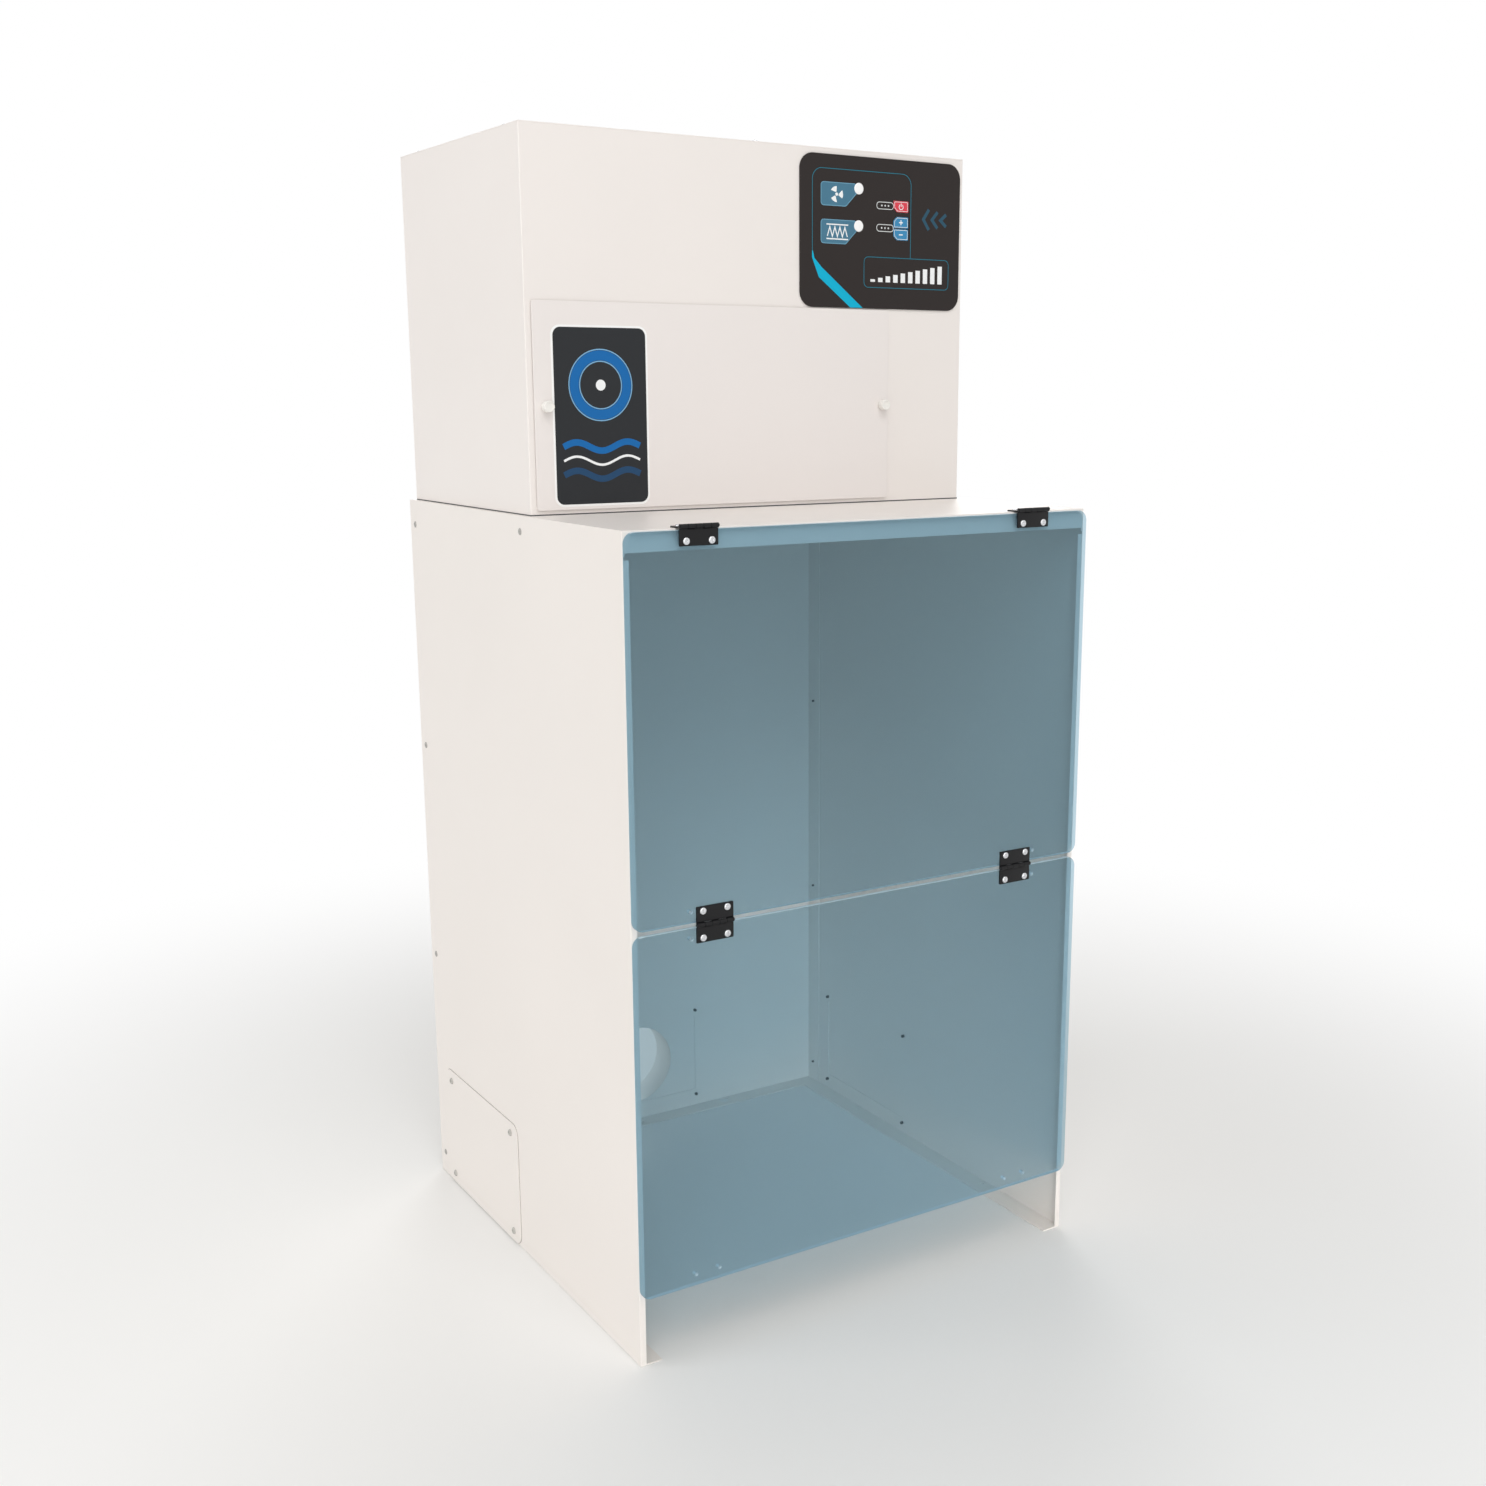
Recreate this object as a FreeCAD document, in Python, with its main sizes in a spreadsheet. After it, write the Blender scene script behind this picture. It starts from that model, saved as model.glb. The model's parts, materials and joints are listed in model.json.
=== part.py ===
"""Bench-top containment cabinet with a two-pane folding front and a filter and blower housing on its roof.

The origin is the middle of the cabinet's footprint, on the bench. +X is to the right of someone who
faces the panes, +Y goes to the back and +Z up. Lengths are in millimetres.
"""
import FreeCAD
import Part
import Sketcher

import math
import operator
import os

SIZES = {
    # lower cabinet
    "cabinet_width": 508.0,
    "cabinet_depth": 497.0,
    "cabinet_height": 769.5,
    "sheet_metal": 1.2,
    "bend_radius": 1.0,
    "floor_flange": 22.6,
    "front_return": 6.3,
    "return_below_roof": 24.8,
    "roof_front_flange": 18.8,
    "roof_joining_flange": 22.0,
    "back_joining_flange": 25.0,
    # holes in the floor flanges
    "bench_hole_diameter": 5.5,
    "bench_hole_inset": 8.0,
    "bench_hole_spacing": 250.8,
    "rear_hole_inset": 12.4,
    "cable_hole_diameter": 13.0,
    "cable_hole_offset": 118.7,
    "cable_hole_inset": 9.0,
    # rivets and pan-head screws
    "rivet_head_diameter": 6.2,
    "rivet_head_height": 0.9,
    "rivet_from_back": 13.2,
    "lowest_rivet": 25.9,
    "rivet_spacing": 239.4,
    "roof_rivet_from_front": 208.6,
    "roof_rivet_below_roof": 14.6,
    "screw_head_diameter": 6.6,
    "screw_head_height": 1.8,
    "hole_clearance": 0.15,
    # ports in the walls and the plates over them
    "side_port_from_front": 368.8,
    "side_port_height": 69.0,
    "rear_port_height": 71.5,
    "port_width": 163.6,
    "port_opening": 99.0,
    "port_corner": 3.0,
    "port_plate_width": 198.0,
    "port_plate_height": 135.0,
    "port_plate_corner": 12.7,
    "port_screw_width": 164.0,
    "port_screw_height": 111.7,
    # hose collar
    "hose_diameter": 98.0,
    "collar_length": 36.0,
    "collar_flange": 9.0,
    "collar_rivet_circle": 107.0,
    # window panes
    "pane_thickness": 4.8,
    "pane_height": 347.5,
    "pane_corner": 10.0,
    "pane_gap": 4.6,
    "pane_side_clearance": 0.5,
    "pane_standoff": 0.3,
    "seam_height": 418.4,
    "spare_hole_inset": 10.7,
    # hinges
    "hinge_width": 37.8,
    "leaf_reach": 16.8,
    "leaf_thickness": 1.5,
    "barrel_diameter": 4.2,
    "pin_diameter": 2.0,
    "pin_offset": 1.8,
    "pin_clearance": 0.05,
    "pin_overhang": 0.8,
    "knuckle_gap": 0.3,
    "hinge_screw_spacing": 24.9,
    "hinge_screw_reach": 12.5,
    "hinge_screw_diameter": 3.0,
    "hinge_screw_head_diameter": 6.0,
    "hinge_screw_head_height": 1.3,
    "pane_screw_short": 0.15,
    "roof_screw_point": 4.0,
    "roof_hinge_offset": 184.0,
    "middle_hinge_offset": 172.7,
    # filter and blower housing
    "housing_side_inset": 6.2,
    "housing_setback": 196.1,
    "housing_rear_inset": 4.7,
    "housing_height": 346.7,
    "housing_flange": 12.0,
    "lid_screw_inset": 40.0,
    "base_rivet_spread": 198.2,
    "first_side_rivet": 80.0,
    "last_side_rivet": 220.0,
    # filter door, its gasket and its knobs
    "door_left_margin": 6.0,
    "door_bottom_margin": 4.7,
    "door_width": 395.7,
    "door_height": 189.0,
    "door_thickness": 1.5,
    "door_corner": 2.0,
    "door_side_lap": 18.0,
    "door_end_lap": 7.0,
    "gasket_width": 4.5,
    "gasket_thickness": 1.0,
    "gasket_clearance": 0.2,
    "left_knob_inset": 11.2,
    "right_knob_inset": 8.2,
    "knob_diameter": 10.5,
    "knob_length": 8.5,
    "stud_diameter": 4.0,
    "stud_reach": 11.0,
    "insert_diameter": 8.0,
    "insert_length": 9.0,
    "thread_clearance": 0.1,
    "stud_clearance": 0.5,
    "knob_gap": 0.2,
    # keypad
    "keypad_right_margin": 4.4,
    "keypad_top_margin": 6.0,
    "keypad_width": 196.6,
    "keypad_height": 145.8,
    "keypad_corner": 15.0,
    "keypad_thickness": 1.6,
    "key_width": 18.2,
    "key_height": 10.8,
    "key_bevel": 4.0,
    "key_clearance": 0.35,
    "key_travel": 0.6,
    "key_stand_proud": 0.4,
    "key_stem": 6.0,
    "key_stem_clearance": 0.5,
    "key_back_gap": 0.2,
    "key_column_from_left": 121.5,
    "power_key_from_top": 45.1,
    "speed_up_key_from_top": 60.6,
    "speed_down_key_from_top": 72.4,
    "lens_diameter": 10.8,
    "lens_clearance": 0.15,
    "lens_column_from_left": 69.6,
    "upper_lens_from_top": 30.6,
    "lower_lens_from_top": 66.3,
    # control board behind the keypad
    "board_width": 150.0,
    "board_height": 96.0,
    "board_thickness": 1.6,
    "board_depth": 11.0,
    "board_hole_inset": 5.0,
    "standoff_diameter": 6.0,
    "switch_width": 6.2,
    "switch_gap": 0.15,
    "stem_to_board": 4.3,
    # air inlet, light and filters
    "inlet_margin": 15.0,
    "grille_thickness": 1.0,
    "grille_lap": 11.0,
    "grille_bar": 7.0,
    "grille_slot": 9.0,
    "light_length": 290.0,
    "light_width": 16.0,
    "light_height": 11.0,
    "light_wall": 1.5,
    "light_setback": 3.0,
    "filter_side_clearance": 2.5,
    "filter_front_gap": 12.5,
    "filter_depth": 262.0,
    "filter_seat_height": 11.0,
    "prefilter_height": 20.0,
    "prefilter_rim": 12.0,
    "hepa_height": 148.0,
    "hepa_rim": 14.0,
    "pleat_pitch": 12.0,
    "pleat_fold": 2.4,
    "pleat_inset": 9.0,
    "pleat_paper": 0.8,
    "seal_height": 9.0,
    "seal_width": 11.0,
    "bay_wall_gap": 14.0,
    # blower on the fan deck
    "blower_from_left": 152.0,
    "blower_from_front": 125.0,
    "impeller_diameter": 140.0,
    "impeller_height": 55.0,
    "impeller_plate": 2.0,
    "impeller_ring": 2.0,
    "blade_count": 24,
    "blade_depth": 14.0,
    "blade_thickness": 1.2,
    "hub_diameter": 26.0,
    "hub_length": 16.0,
    "shaft_diameter": 8.0,
    "scroll_gap": 12.0,
    "scroll_step": 10.0,
    "scroll_wall": 1.5,
    "scroll_height": 72.0,
    "scroll_nose": 4.0,
    "outlet_inset": 45.0,
    "air_inlet_diameter": 112.0,
    "motor_diameter": 84.0,
    "motor_height": 52.0,
    "motor_flange_diameter": 104.0,
    "motor_flange_height": 3.0,
    "motor_screw_circle": 94.0,
    "shaft_in_motor": 22.0,
    "shaft_clearance": 0.05,
    "shaft_overhang": 0.8,
    "shaft_end_gap": 0.15,
    "hub_hole_gap": 4.0,
    "impeller_top_gap": 4.0,
    "deck_hole_gap": 3.0,
    # exhaust grille and power inlet
    "exhaust_rim": 9.0,
    "exhaust_depth": 4.5,
    "vane_pitch": 9.5,
    "vane_thickness": 1.4,
    "power_inlet_from_right": 42.0,
    "power_inlet_above_roof": 40.0,
    "power_body_width": 27.4,
    "power_body_height": 20.4,
    "power_body_depth": 26.0,
    "power_flange_width": 50.0,
    "power_flange_height": 24.0,
    "power_flange_thickness": 2.5,
    "power_recess_width": 22.6,
    "power_recess_height": 15.6,
    "power_recess_depth": 16.0,
    "power_screw_spacing": 40.0,
    "power_pin_spacing": 7.0,
    "power_pin_rise": 2.0,
    "power_pin_width": 2.0,
    "power_pin_height": 4.0,
    "power_pin_setback": 3.0,
    "power_cutout_gap": 0.25,
}


class Size:
    """A length of the sheet, or lengths of the sheet worked together: its number and its formula."""

    def __init__(self, number, formula):
        self.number = number
        self.formula = formula

    def __add__(self, other):
        return worked("+", self, other)

    def __radd__(self, other):
        return worked("+", other, self)

    def __sub__(self, other):
        return worked("-", self, other)

    def __rsub__(self, other):
        return worked("-", other, self)

    def __mul__(self, other):
        return worked("*", self, other)

    def __rmul__(self, other):
        return worked("*", other, self)

    def __truediv__(self, other):
        return worked("/", self, other)

    def __neg__(self):
        return worked("-", 0, self)


def as_size(value):
    return value if isinstance(value, Size) else Size(value, repr(value))


zero = as_size(0)


def worked(sign, left, right):
    left = as_size(left)
    right = as_size(right)
    sums = {"+": operator.add, "-": operator.sub, "*": operator.mul, "/": operator.truediv}
    return Size(sums[sign](left.number, right.number), f"({left.formula} {sign} {right.formula})")


def root(value):
    return Size(math.sqrt(value.number), f"sqrt({value.formula})")


doc = FreeCAD.newDocument("ContainmentCabinet")
sheet = doc.addObject("Spreadsheet::Sheet", "Sizes")
for row, (alias, number) in enumerate(SIZES.items(), start=1):
    sheet.set(f"A{row}", alias.replace("_", " "))
    sheet.set(f"B{row}", str(number))
    sheet.setAlias(f"B{row}", alias)
doc.recompute()


def size(alias):
    return Size(SIZES[alias], "Sizes." + alias)


def bind(item, prop, value):
    """Ties a property to the sheet."""
    item.setExpression(prop, as_size(value).formula)


# Sketches. A view is the plane that a sketch lies in, seen along +Z, +Y or -X.
PLANES = {"top": "XY_Plane", "front": "XZ_Plane", "side": "YZ_Plane"}
PARTS = []


def rectangle(left, right, low, high):
    return [(left, low), (right, low), (right, high), (left, high)]


def rounded(left, right, low, high, radius):
    """A rectangle with round corners; a step of four values ends an arc round its last two."""
    return [
        (left + radius, low),
        (right - radius, low),
        (right, low + radius, right - radius, low + radius),
        (right, high - radius),
        (right - radius, high, right - radius, high - radius),
        (left + radius, high),
        (left, high - radius, left + radius, high - radius),
        (left, low + radius),
        (left + radius, low, left + radius, low + radius),
    ]


def circle(across, up, radius):
    return ("circle", across, up, radius)


# Half the side of an octagon whose flats lie at 1 from its middle
OCTAGON_HALF_SIDE = math.tan(math.pi / 8)


def octagon(across, up, reach):
    """A small hole with eight flats, each at a reach from its middle."""
    half = reach * OCTAGON_HALF_SIDE
    return [
        (across - half, up - reach),
        (across + half, up - reach),
        (across + reach, up - half),
        (across + reach, up + half),
        (across + half, up + reach),
        (across - half, up + reach),
        (across - reach, up + half),
        (across - reach, up - half),
    ]


def vector(pair):
    return FreeCAD.Vector(as_size(pair[0]).number, as_size(pair[1]).number, 0)


def pin_point(sketch, line, end, pair):
    """Holds one end or centre of a line at a place worked out from the sheet."""
    for kind, value in zip(("DistanceX", "DistanceY"), pair):
        value = as_size(value)
        rule = sketch.addConstraint(Sketcher.Constraint(kind, -1, 1, line, end, value.number))
        sketch.setExpression(f"Constraints[{rule}]", value.formula)


def draw_circle(sketch, across, up, radius):
    radius = as_size(radius)
    place = vector((across, up))
    line = sketch.addGeometry(Part.Circle(place, FreeCAD.Vector(0, 0, 1), radius.number), False)
    pin_point(sketch, line, 3, (across, up))
    rule = sketch.addConstraint(Sketcher.Constraint("Radius", line, radius.number))
    sketch.setExpression(f"Constraints[{rule}]", radius.formula)


def draw_outline(sketch, steps):
    """A closed outline. A step (x, y) ends a straight line, and (x, y, centre x, centre y) ends an arc
    that goes round its centre the shorter way. The last step leads back to the first."""
    closed = steps if len(steps[-1]) == 4 and vector(steps[-1]).isEqual(vector(steps[0]), 1e-6) else None
    corners = steps[:-1] if closed else steps
    count = len(corners)
    ends = []
    for index in range(count):
        start = vector(corners[index])
        step = steps[index + 1] if index + 1 < len(steps) else steps[0]
        stop = vector(step)
        if len(step) == 4 and (index + 1 < count or closed):
            centre = vector(step[2:])
            middle = (start - centre) + (stop - centre)
            middle.normalize()
            radius = arc_radius(corners[index], step)
            middle = centre + middle * radius.number
            line = sketch.addGeometry(Part.Arc(start, middle, stop), False)
            turns_left = (start - centre).cross(stop - centre).z > 0
            ends.append((line, 1, 2) if turns_left else (line, 2, 1))
            rule = sketch.addConstraint(Sketcher.Constraint("Radius", line, radius.number))
            sketch.setExpression(f"Constraints[{rule}]", radius.formula)
        else:
            line = sketch.addGeometry(Part.LineSegment(start, stop), False)
            ends.append((line, 1, 2))
    rules = []
    for index in range(count):
        line, _, stop = ends[index]
        following, start, _ = ends[(index + 1) % count]
        rules.append(Sketcher.Constraint("Coincident", line, stop, following, start))
    sketch.addConstraint(rules)
    for index in range(count):
        line, start, _ = ends[index]
        pin_point(sketch, line, start, corners[index][:2])


def arc_radius(start, step):
    """How far an arc's start lies from its centre."""
    across = start[0] - step[2]
    up = start[1] - step[3]
    return root(as_size(across * across + up * up))


def plane_of(body, role):
    return [item for item in body.Origin.OriginFeatures if item.Role == role][0]


def new_sketch(body, view, level, outlines):
    sketch = body.newObject("Sketcher::SketchObject", body.Name + "_sketch")
    sketch.AttachmentSupport = [(plane_of(body, PLANES[view]), "")]
    sketch.MapMode = "FlatFace"
    bind(sketch, "AttachmentOffset.Base.z", -level if view == "front" else level)
    for outline in outlines:
        if outline[0] == "circle":
            draw_circle(sketch, *outline[1:])
        else:
            draw_outline(sketch, outline)
    return sketch


def pad(body, view, low, high, *outlines):
    """Adds metal between two levels. A front sketch faces -Y, so it lies at the higher level."""
    low = as_size(low)
    high = as_size(high)
    feature = body.newObject("PartDesign::Pad", body.Name + "_pad")
    feature.Profile = new_sketch(body, view, high if view == "front" else low, outlines)
    bind(feature, "Length", high - low)
    return feature


def pocket(body, view, low, high, *outlines):
    """Takes metal away between two levels."""
    low = as_size(low)
    high = as_size(high)
    feature = body.newObject("PartDesign::Pocket", body.Name + "_pocket")
    feature.Profile = new_sketch(body, view, low if view == "front" else high, outlines)
    bind(feature, "Length", high - low)
    return feature


def turned(body, view, axis, *outlines):
    """A turned form: a half section in a view, swept round one of the body's axes."""
    feature = body.newObject("PartDesign::Revolution", body.Name + "_turned")
    feature.Profile = new_sketch(body, view, zero, outlines)
    feature.ReferenceAxis = (plane_of(body, axis), [""])
    feature.Angle = 360
    return feature


def plain_body(name):
    return doc.addObject("PartDesign::Body", name)


def new_body(label):
    """A body that is a sub-part by itself."""
    body = plain_body(label)
    PARTS.append(body)
    return body


def move_to(item, **place):
    """Binds some coordinates of an object's Placement."""
    for axis, value in place.items():
        bind(item, "Placement.Base." + axis, value)


def round_bends(body, radius, chosen):
    """Rounds the edges whose two ends, as vectors, pass the test."""
    doc.recompute()
    base = body.Tip
    names = []
    for number, edge in enumerate(base.Shape.Edges, start=1):
        ends = [vertex.Point for vertex in edge.Vertexes]
        if len(ends) == 2 and chosen(*ends):
            names.append(f"Edge{number}")
    feature = body.newObject("PartDesign::Fillet", body.Name + "_bend")
    feature.Base = (base, names)
    bind(feature, "Radius", radius)
    return feature


# Plain solids
TURNS = {
    "+x": FreeCAD.Rotation(FreeCAD.Vector(0, 1, 0), 90),
    "-x": FreeCAD.Rotation(FreeCAD.Vector(0, 1, 0), -90),
    "+y": FreeCAD.Rotation(FreeCAD.Vector(1, 0, 0), -90),
    "-y": FreeCAD.Rotation(FreeCAD.Vector(1, 0, 0), 90),
    "+z": FreeCAD.Rotation(),
    "-z": FreeCAD.Rotation(FreeCAD.Vector(1, 0, 0), 180),
}


def placed(item, direction, base):
    """Points a solid's own Z along a direction and binds its base point."""
    item.Placement = FreeCAD.Placement(FreeCAD.Vector(), TURNS[direction])
    for axis, value in zip("xyz", base):
        bind(item, "Placement.Base." + axis, value)
    return item


def block(name, x, y, z):
    """A block between a low and a high place along each axis."""
    item = doc.addObject("Part::Box", name)
    for prop, (low, high) in zip(("Length", "Width", "Height"), (x, y, z)):
        bind(item, prop, as_size(high) - low)
    return placed(item, "+z", (x[0], y[0], z[0]))


def bar(name, direction, base, radius, length):
    """A round bar from a base point."""
    item = doc.addObject("Part::Cylinder", name)
    bind(item, "Radius", radius)
    bind(item, "Height", length)
    return placed(item, direction, base)


def prism(name, direction, base, sides, reach, length):
    """A straight bar with flat sides, each at a reach from its axis."""
    item = doc.addObject("Part::Prism", name)
    item.Polygon = sides
    bind(item, "Circumradius", reach * (1 / math.cos(math.pi / sides)))
    bind(item, "Height", length)
    return placed(item, direction, base)


def fused(name, *pieces):
    item = doc.addObject("Part::MultiFuse", name)
    item.Shapes = list(pieces)
    return item


def cut(name, base, *tools):
    item = doc.addObject("Part::Cut", name)
    item.Base = base
    item.Tool = tools[0] if len(tools) == 1 else fused(name + "_tools", *tools)
    return item


def mirrored(name, piece):
    """The same piece on the other side of the middle plane."""
    item = doc.addObject("Part::Mirroring", name)
    item.Source = piece
    item.Normal = FreeCAD.Vector(1, 0, 0)
    return item


def grouped(label, pieces):
    """Separate solids that share one file."""
    item = doc.addObject("Part::Compound", label)
    item.Links = list(pieces)
    PARTS.append(item)
    return item


def part(item, label):
    item.Label = label
    PARTS.append(item)
    return item


OPPOSITE = {"+": "-", "-": "+"}


def along(direction, seat, distance):
    """A place at a distance from a seat, in a direction such as -y."""
    axis = "xyz".index(direction[1])
    moved = list(seat)
    moved[axis] = seat[axis] + distance if direction[0] == "+" else seat[axis] - distance
    return moved


SMALL_ROUND_SIDES = 8


def fastener(name, facing, seat, shank_reach, depth, head_reach, head_height):
    """A screw whose head faces a direction and whose shank goes down from its seat."""
    into = OPPOSITE[facing[0]] + facing[1]
    return fused(
        name,
        prism(name + "_head", facing, seat, SMALL_ROUND_SIDES, head_reach, head_height),
        prism(name + "_shank", into, seat, SMALL_ROUND_SIDES, shank_reach, depth),
    )


# Places that many pieces share
half_width = size("cabinet_width") / 2
front = -(size("cabinet_depth") / 2)
back = size("cabinet_depth") / 2
roof = size("cabinet_height")
metal = size("sheet_metal")
clearance = size("hole_clearance")


def panel_screw(name, facing, seat):
    """The pan head of a self-tapping screw that holds sheet metal."""
    head = size("screw_head_diameter") / 2
    return prism(name, facing, seat, SMALL_ROUND_SIDES, head, size("screw_head_height"))


def rivet(name, facing, seat):
    """The low head of a blind rivet."""
    head = size("rivet_head_diameter") / 2
    return prism(name, facing, seat, SMALL_ROUND_SIDES, head, size("rivet_head_height"))


# Side panels: wall, front return and floor flange, folded from one sheet
rivet_y = back - size("rivet_from_back")
rivet_heights = [size("lowest_rivet") + size("rivet_spacing") * step for step in range(4)]
roof_rivet = (front + size("roof_rivet_from_front"), roof - size("roof_rivet_below_roof"))
wall_rivet_places = [(rivet_y, height) for height in rivet_heights] + [roof_rivet]
port_y = front + size("side_port_from_front")
port_z = size("side_port_height")


def port_screw_places(across, up):
    """The four screws round a port, from its middle."""
    side = size("port_screw_width") / 2
    rise = size("port_screw_height") / 2
    return [(across + side * i, up + rise * j) for i in (-1, 1) for j in (-1, 1)]


def port_outline(across, up):
    side = size("port_width") / 2
    rise = size("port_opening") / 2
    return rounded(across - side, across + side, up - rise, up + rise, size("port_corner"))


bench_hole_radius = size("bench_hole_diameter") / 2
bench_hole_x = half_width - size("bench_hole_inset")
bench_hole_y = size("bench_hole_spacing") / 2

side_panel = new_body("left_side_panel")
wall_outline = rectangle(front, back, zero, roof)
side_port = port_outline(port_y, port_z)
pad(side_panel, "side", -half_width, metal - half_width, wall_outline, side_port)
return_top = roof - size("return_below_roof")
return_outline = rectangle(-half_width, size("front_return") - half_width, zero, return_top)
pad(side_panel, "front", front, front + metal, return_outline)
flange_outline = rectangle(-half_width, size("floor_flange") - half_width, front, back - metal)
bench_holes = [circle(-bench_hole_x, bench_hole_y * side, bench_hole_radius) for side in (-1, 1)]
pad(side_panel, "top", 0, metal, flange_outline, *bench_holes)
round_bends(
    side_panel,
    size("bend_radius"),
    lambda a, b: max(a.x, b.x) < 0.1 - half_width.number
    and (max(a.y, b.y) < 0.1 + front.number or max(a.z, b.z) < 0.1)
    and (a - b).Length > size("cabinet_depth").number * 0.9,
)
part(mirrored("right_panel", side_panel), "right_side_panel")

# Back panel: the wall behind, with flanges forward along its sides and its foot
back_panel = new_body("back_panel")
inner_width = half_width - metal
rear_port_z = size("rear_port_height")
back_outline = rectangle(-inner_width, inner_width, zero, roof - metal)
pad(back_panel, "front", back - metal, back, back_outline, port_outline(zero, rear_port_z))
foot_width = half_width - size("floor_flange")
foot_holes = [
    circle(zero, back - size("rear_hole_inset"), bench_hole_radius),
    circle(size("cable_hole_offset"), back - size("cable_hole_inset"), size("cable_hole_diameter") / 2),
]
foot_outline = rectangle(-foot_width, foot_width, back - size("floor_flange"), back)
pad(back_panel, "top", 0, metal, foot_outline, *foot_holes)
for low, high in ((-inner_width, metal - inner_width), (inner_width - metal, inner_width)):
    flange = rectangle(back - size("back_joining_flange"), back, metal, roof - metal)
    pad(back_panel, "side", low, high, flange)

# Housing on the roof: the places its own pieces and the roof share
housing_half = half_width - size("housing_side_inset")
housing_front = front + size("housing_setback")
housing_back = back - size("housing_rear_inset")
housing_top = roof + size("housing_height")
housing_flange = size("housing_flange")
door_left = size("door_left_margin") - housing_half
door_right = door_left + size("door_width")
door_low = roof + size("door_bottom_margin")
door_high = door_low + size("door_height")
filter_left = door_left + size("door_side_lap") + size("filter_side_clearance")
filter_right = door_right - size("door_side_lap") - size("filter_side_clearance")
filter_front = housing_front + size("filter_front_gap")
filter_back = filter_front + size("filter_depth")
inlet_margin = size("inlet_margin")
inlet = (filter_left + inlet_margin, filter_right - inlet_margin, filter_front + inlet_margin,
         filter_back - inlet_margin)
base_rivet_line = housing_front + housing_flange / 2
base_rivet_places = [(size("base_rivet_spread") * side, base_rivet_line) for side in (-1, 0, 1)]
base_rivet_places += [
    (side * (housing_half - housing_flange / 2), housing_front + size(step))
    for side in (-1, 1)
    for step in ("first_side_rivet", "last_side_rivet")
]

# Hinge pins: on the roof's front edge and across the seam between the panes
pane_inside = front - size("pane_standoff")
pane_outside = pane_inside - size("pane_thickness")
pin_y = pane_outside - size("pin_offset")
roof_pin_z = roof + size("pin_offset")
seam = size("seam_height")
roof_hinge_x = size("roof_hinge_offset")
middle_hinge_x = size("middle_hinge_offset")
hinge_screw_half = size("hinge_screw_spacing") / 2
hinge_hole = size("hinge_screw_diameter") / 2 + clearance
hinge_reach = size("hinge_screw_reach")


def hinge_screw_xs(middle):
    """Where the screws of a pair of hinges lie across the cabinet."""
    return [side * (middle + hinge_screw_half * end) for side in (-1, 1) for end in (-1, 1)]


# Roof: front, side and rear flanges folded down, and the air inlet under the filters
roof_panel = new_body("roof_panel")
roof_holes = [octagon(x, pin_y + hinge_reach, hinge_hole) for x in hinge_screw_xs(roof_hinge_x)]
roof_sheet = rectangle(-inner_width, inner_width, front, back)
pad(roof_panel, "top", roof - metal, roof, roof_sheet, rectangle(*inlet), *roof_holes)
front_flange = rectangle(-inner_width, inner_width, roof - size("roof_front_flange"), roof)
pad(roof_panel, "front", front, front + metal, front_flange)
flange_foot = roof - size("roof_joining_flange")
side_flange_back = back - size("back_joining_flange") - metal
for low, high in ((-inner_width, metal - inner_width), (inner_width - metal, inner_width)):
    flange = rectangle(front, side_flange_back, flange_foot, roof)
    pad(roof_panel, "side", low, high, flange)
rear_flange = rectangle(metal * 2 - inner_width, inner_width - metal * 2, flange_foot, roof)
pad(roof_panel, "front", back - metal * 2, back - metal, rear_flange)
round_bends(
    roof_panel,
    size("bend_radius"),
    lambda a, b: max(a.y, b.y) < 0.1 + front.number and min(a.z, b.z) > roof.number - 0.1,
)

# Rivets through the side walls
left_wall_rivets = [
    rivet(f"wall_rivet_{index}", "-x", (-half_width, *place))
    for index, place in enumerate(wall_rivet_places)
]
right_wall_rivets = [mirrored(item.Name + "_mirrored", item) for item in left_wall_rivets]
grouped("wall_rivets", left_wall_rivets + right_wall_rivets)

# Plates over the three ports, and their screws
plate_half = size("port_plate_width") / 2
plate_rise = size("port_plate_height") / 2


def plate_outline(across, up):
    corner = size("port_plate_corner")
    return rounded(across - plate_half, across + plate_half, up - plate_rise, up + plate_rise, corner)


port_cover = new_body("left_port_cover")
pad(port_cover, "side", -half_width - metal, -half_width, plate_outline(port_y, port_z))
part(mirrored("right_cover", port_cover), "right_port_cover")

rear_plate = new_body("rear_port_plate")
hose_radius = size("hose_diameter") / 2
bore_radius = hose_radius - metal
collar_rivet_reach = size("collar_rivet_circle") / 2 * math.sqrt(0.5)
collar_rivet_places = [(collar_rivet_reach * i, collar_rivet_reach * j) for i in (-1, 1) for j in (-1, 1)]
hose_bore = circle(zero, rear_port_z, bore_radius)
pad(rear_plate, "front", back, back + metal, plate_outline(zero, rear_port_z), hose_bore)

side_screws = [
    panel_screw(f"side_screw_{index}", "-x", (-half_width - metal, *place))
    for index, place in enumerate(port_screw_places(port_y, port_z))
]
rear_screws = [
    panel_screw(f"rear_screw_{index}", "+y", (x, back + metal, z))
    for index, (x, z) in enumerate(port_screw_places(zero, rear_port_z))
]
opposite_screws = [mirrored(item.Name + "_mirrored", item) for item in side_screws]
grouped("port_screws", side_screws + opposite_screws + rear_screws)

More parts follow.
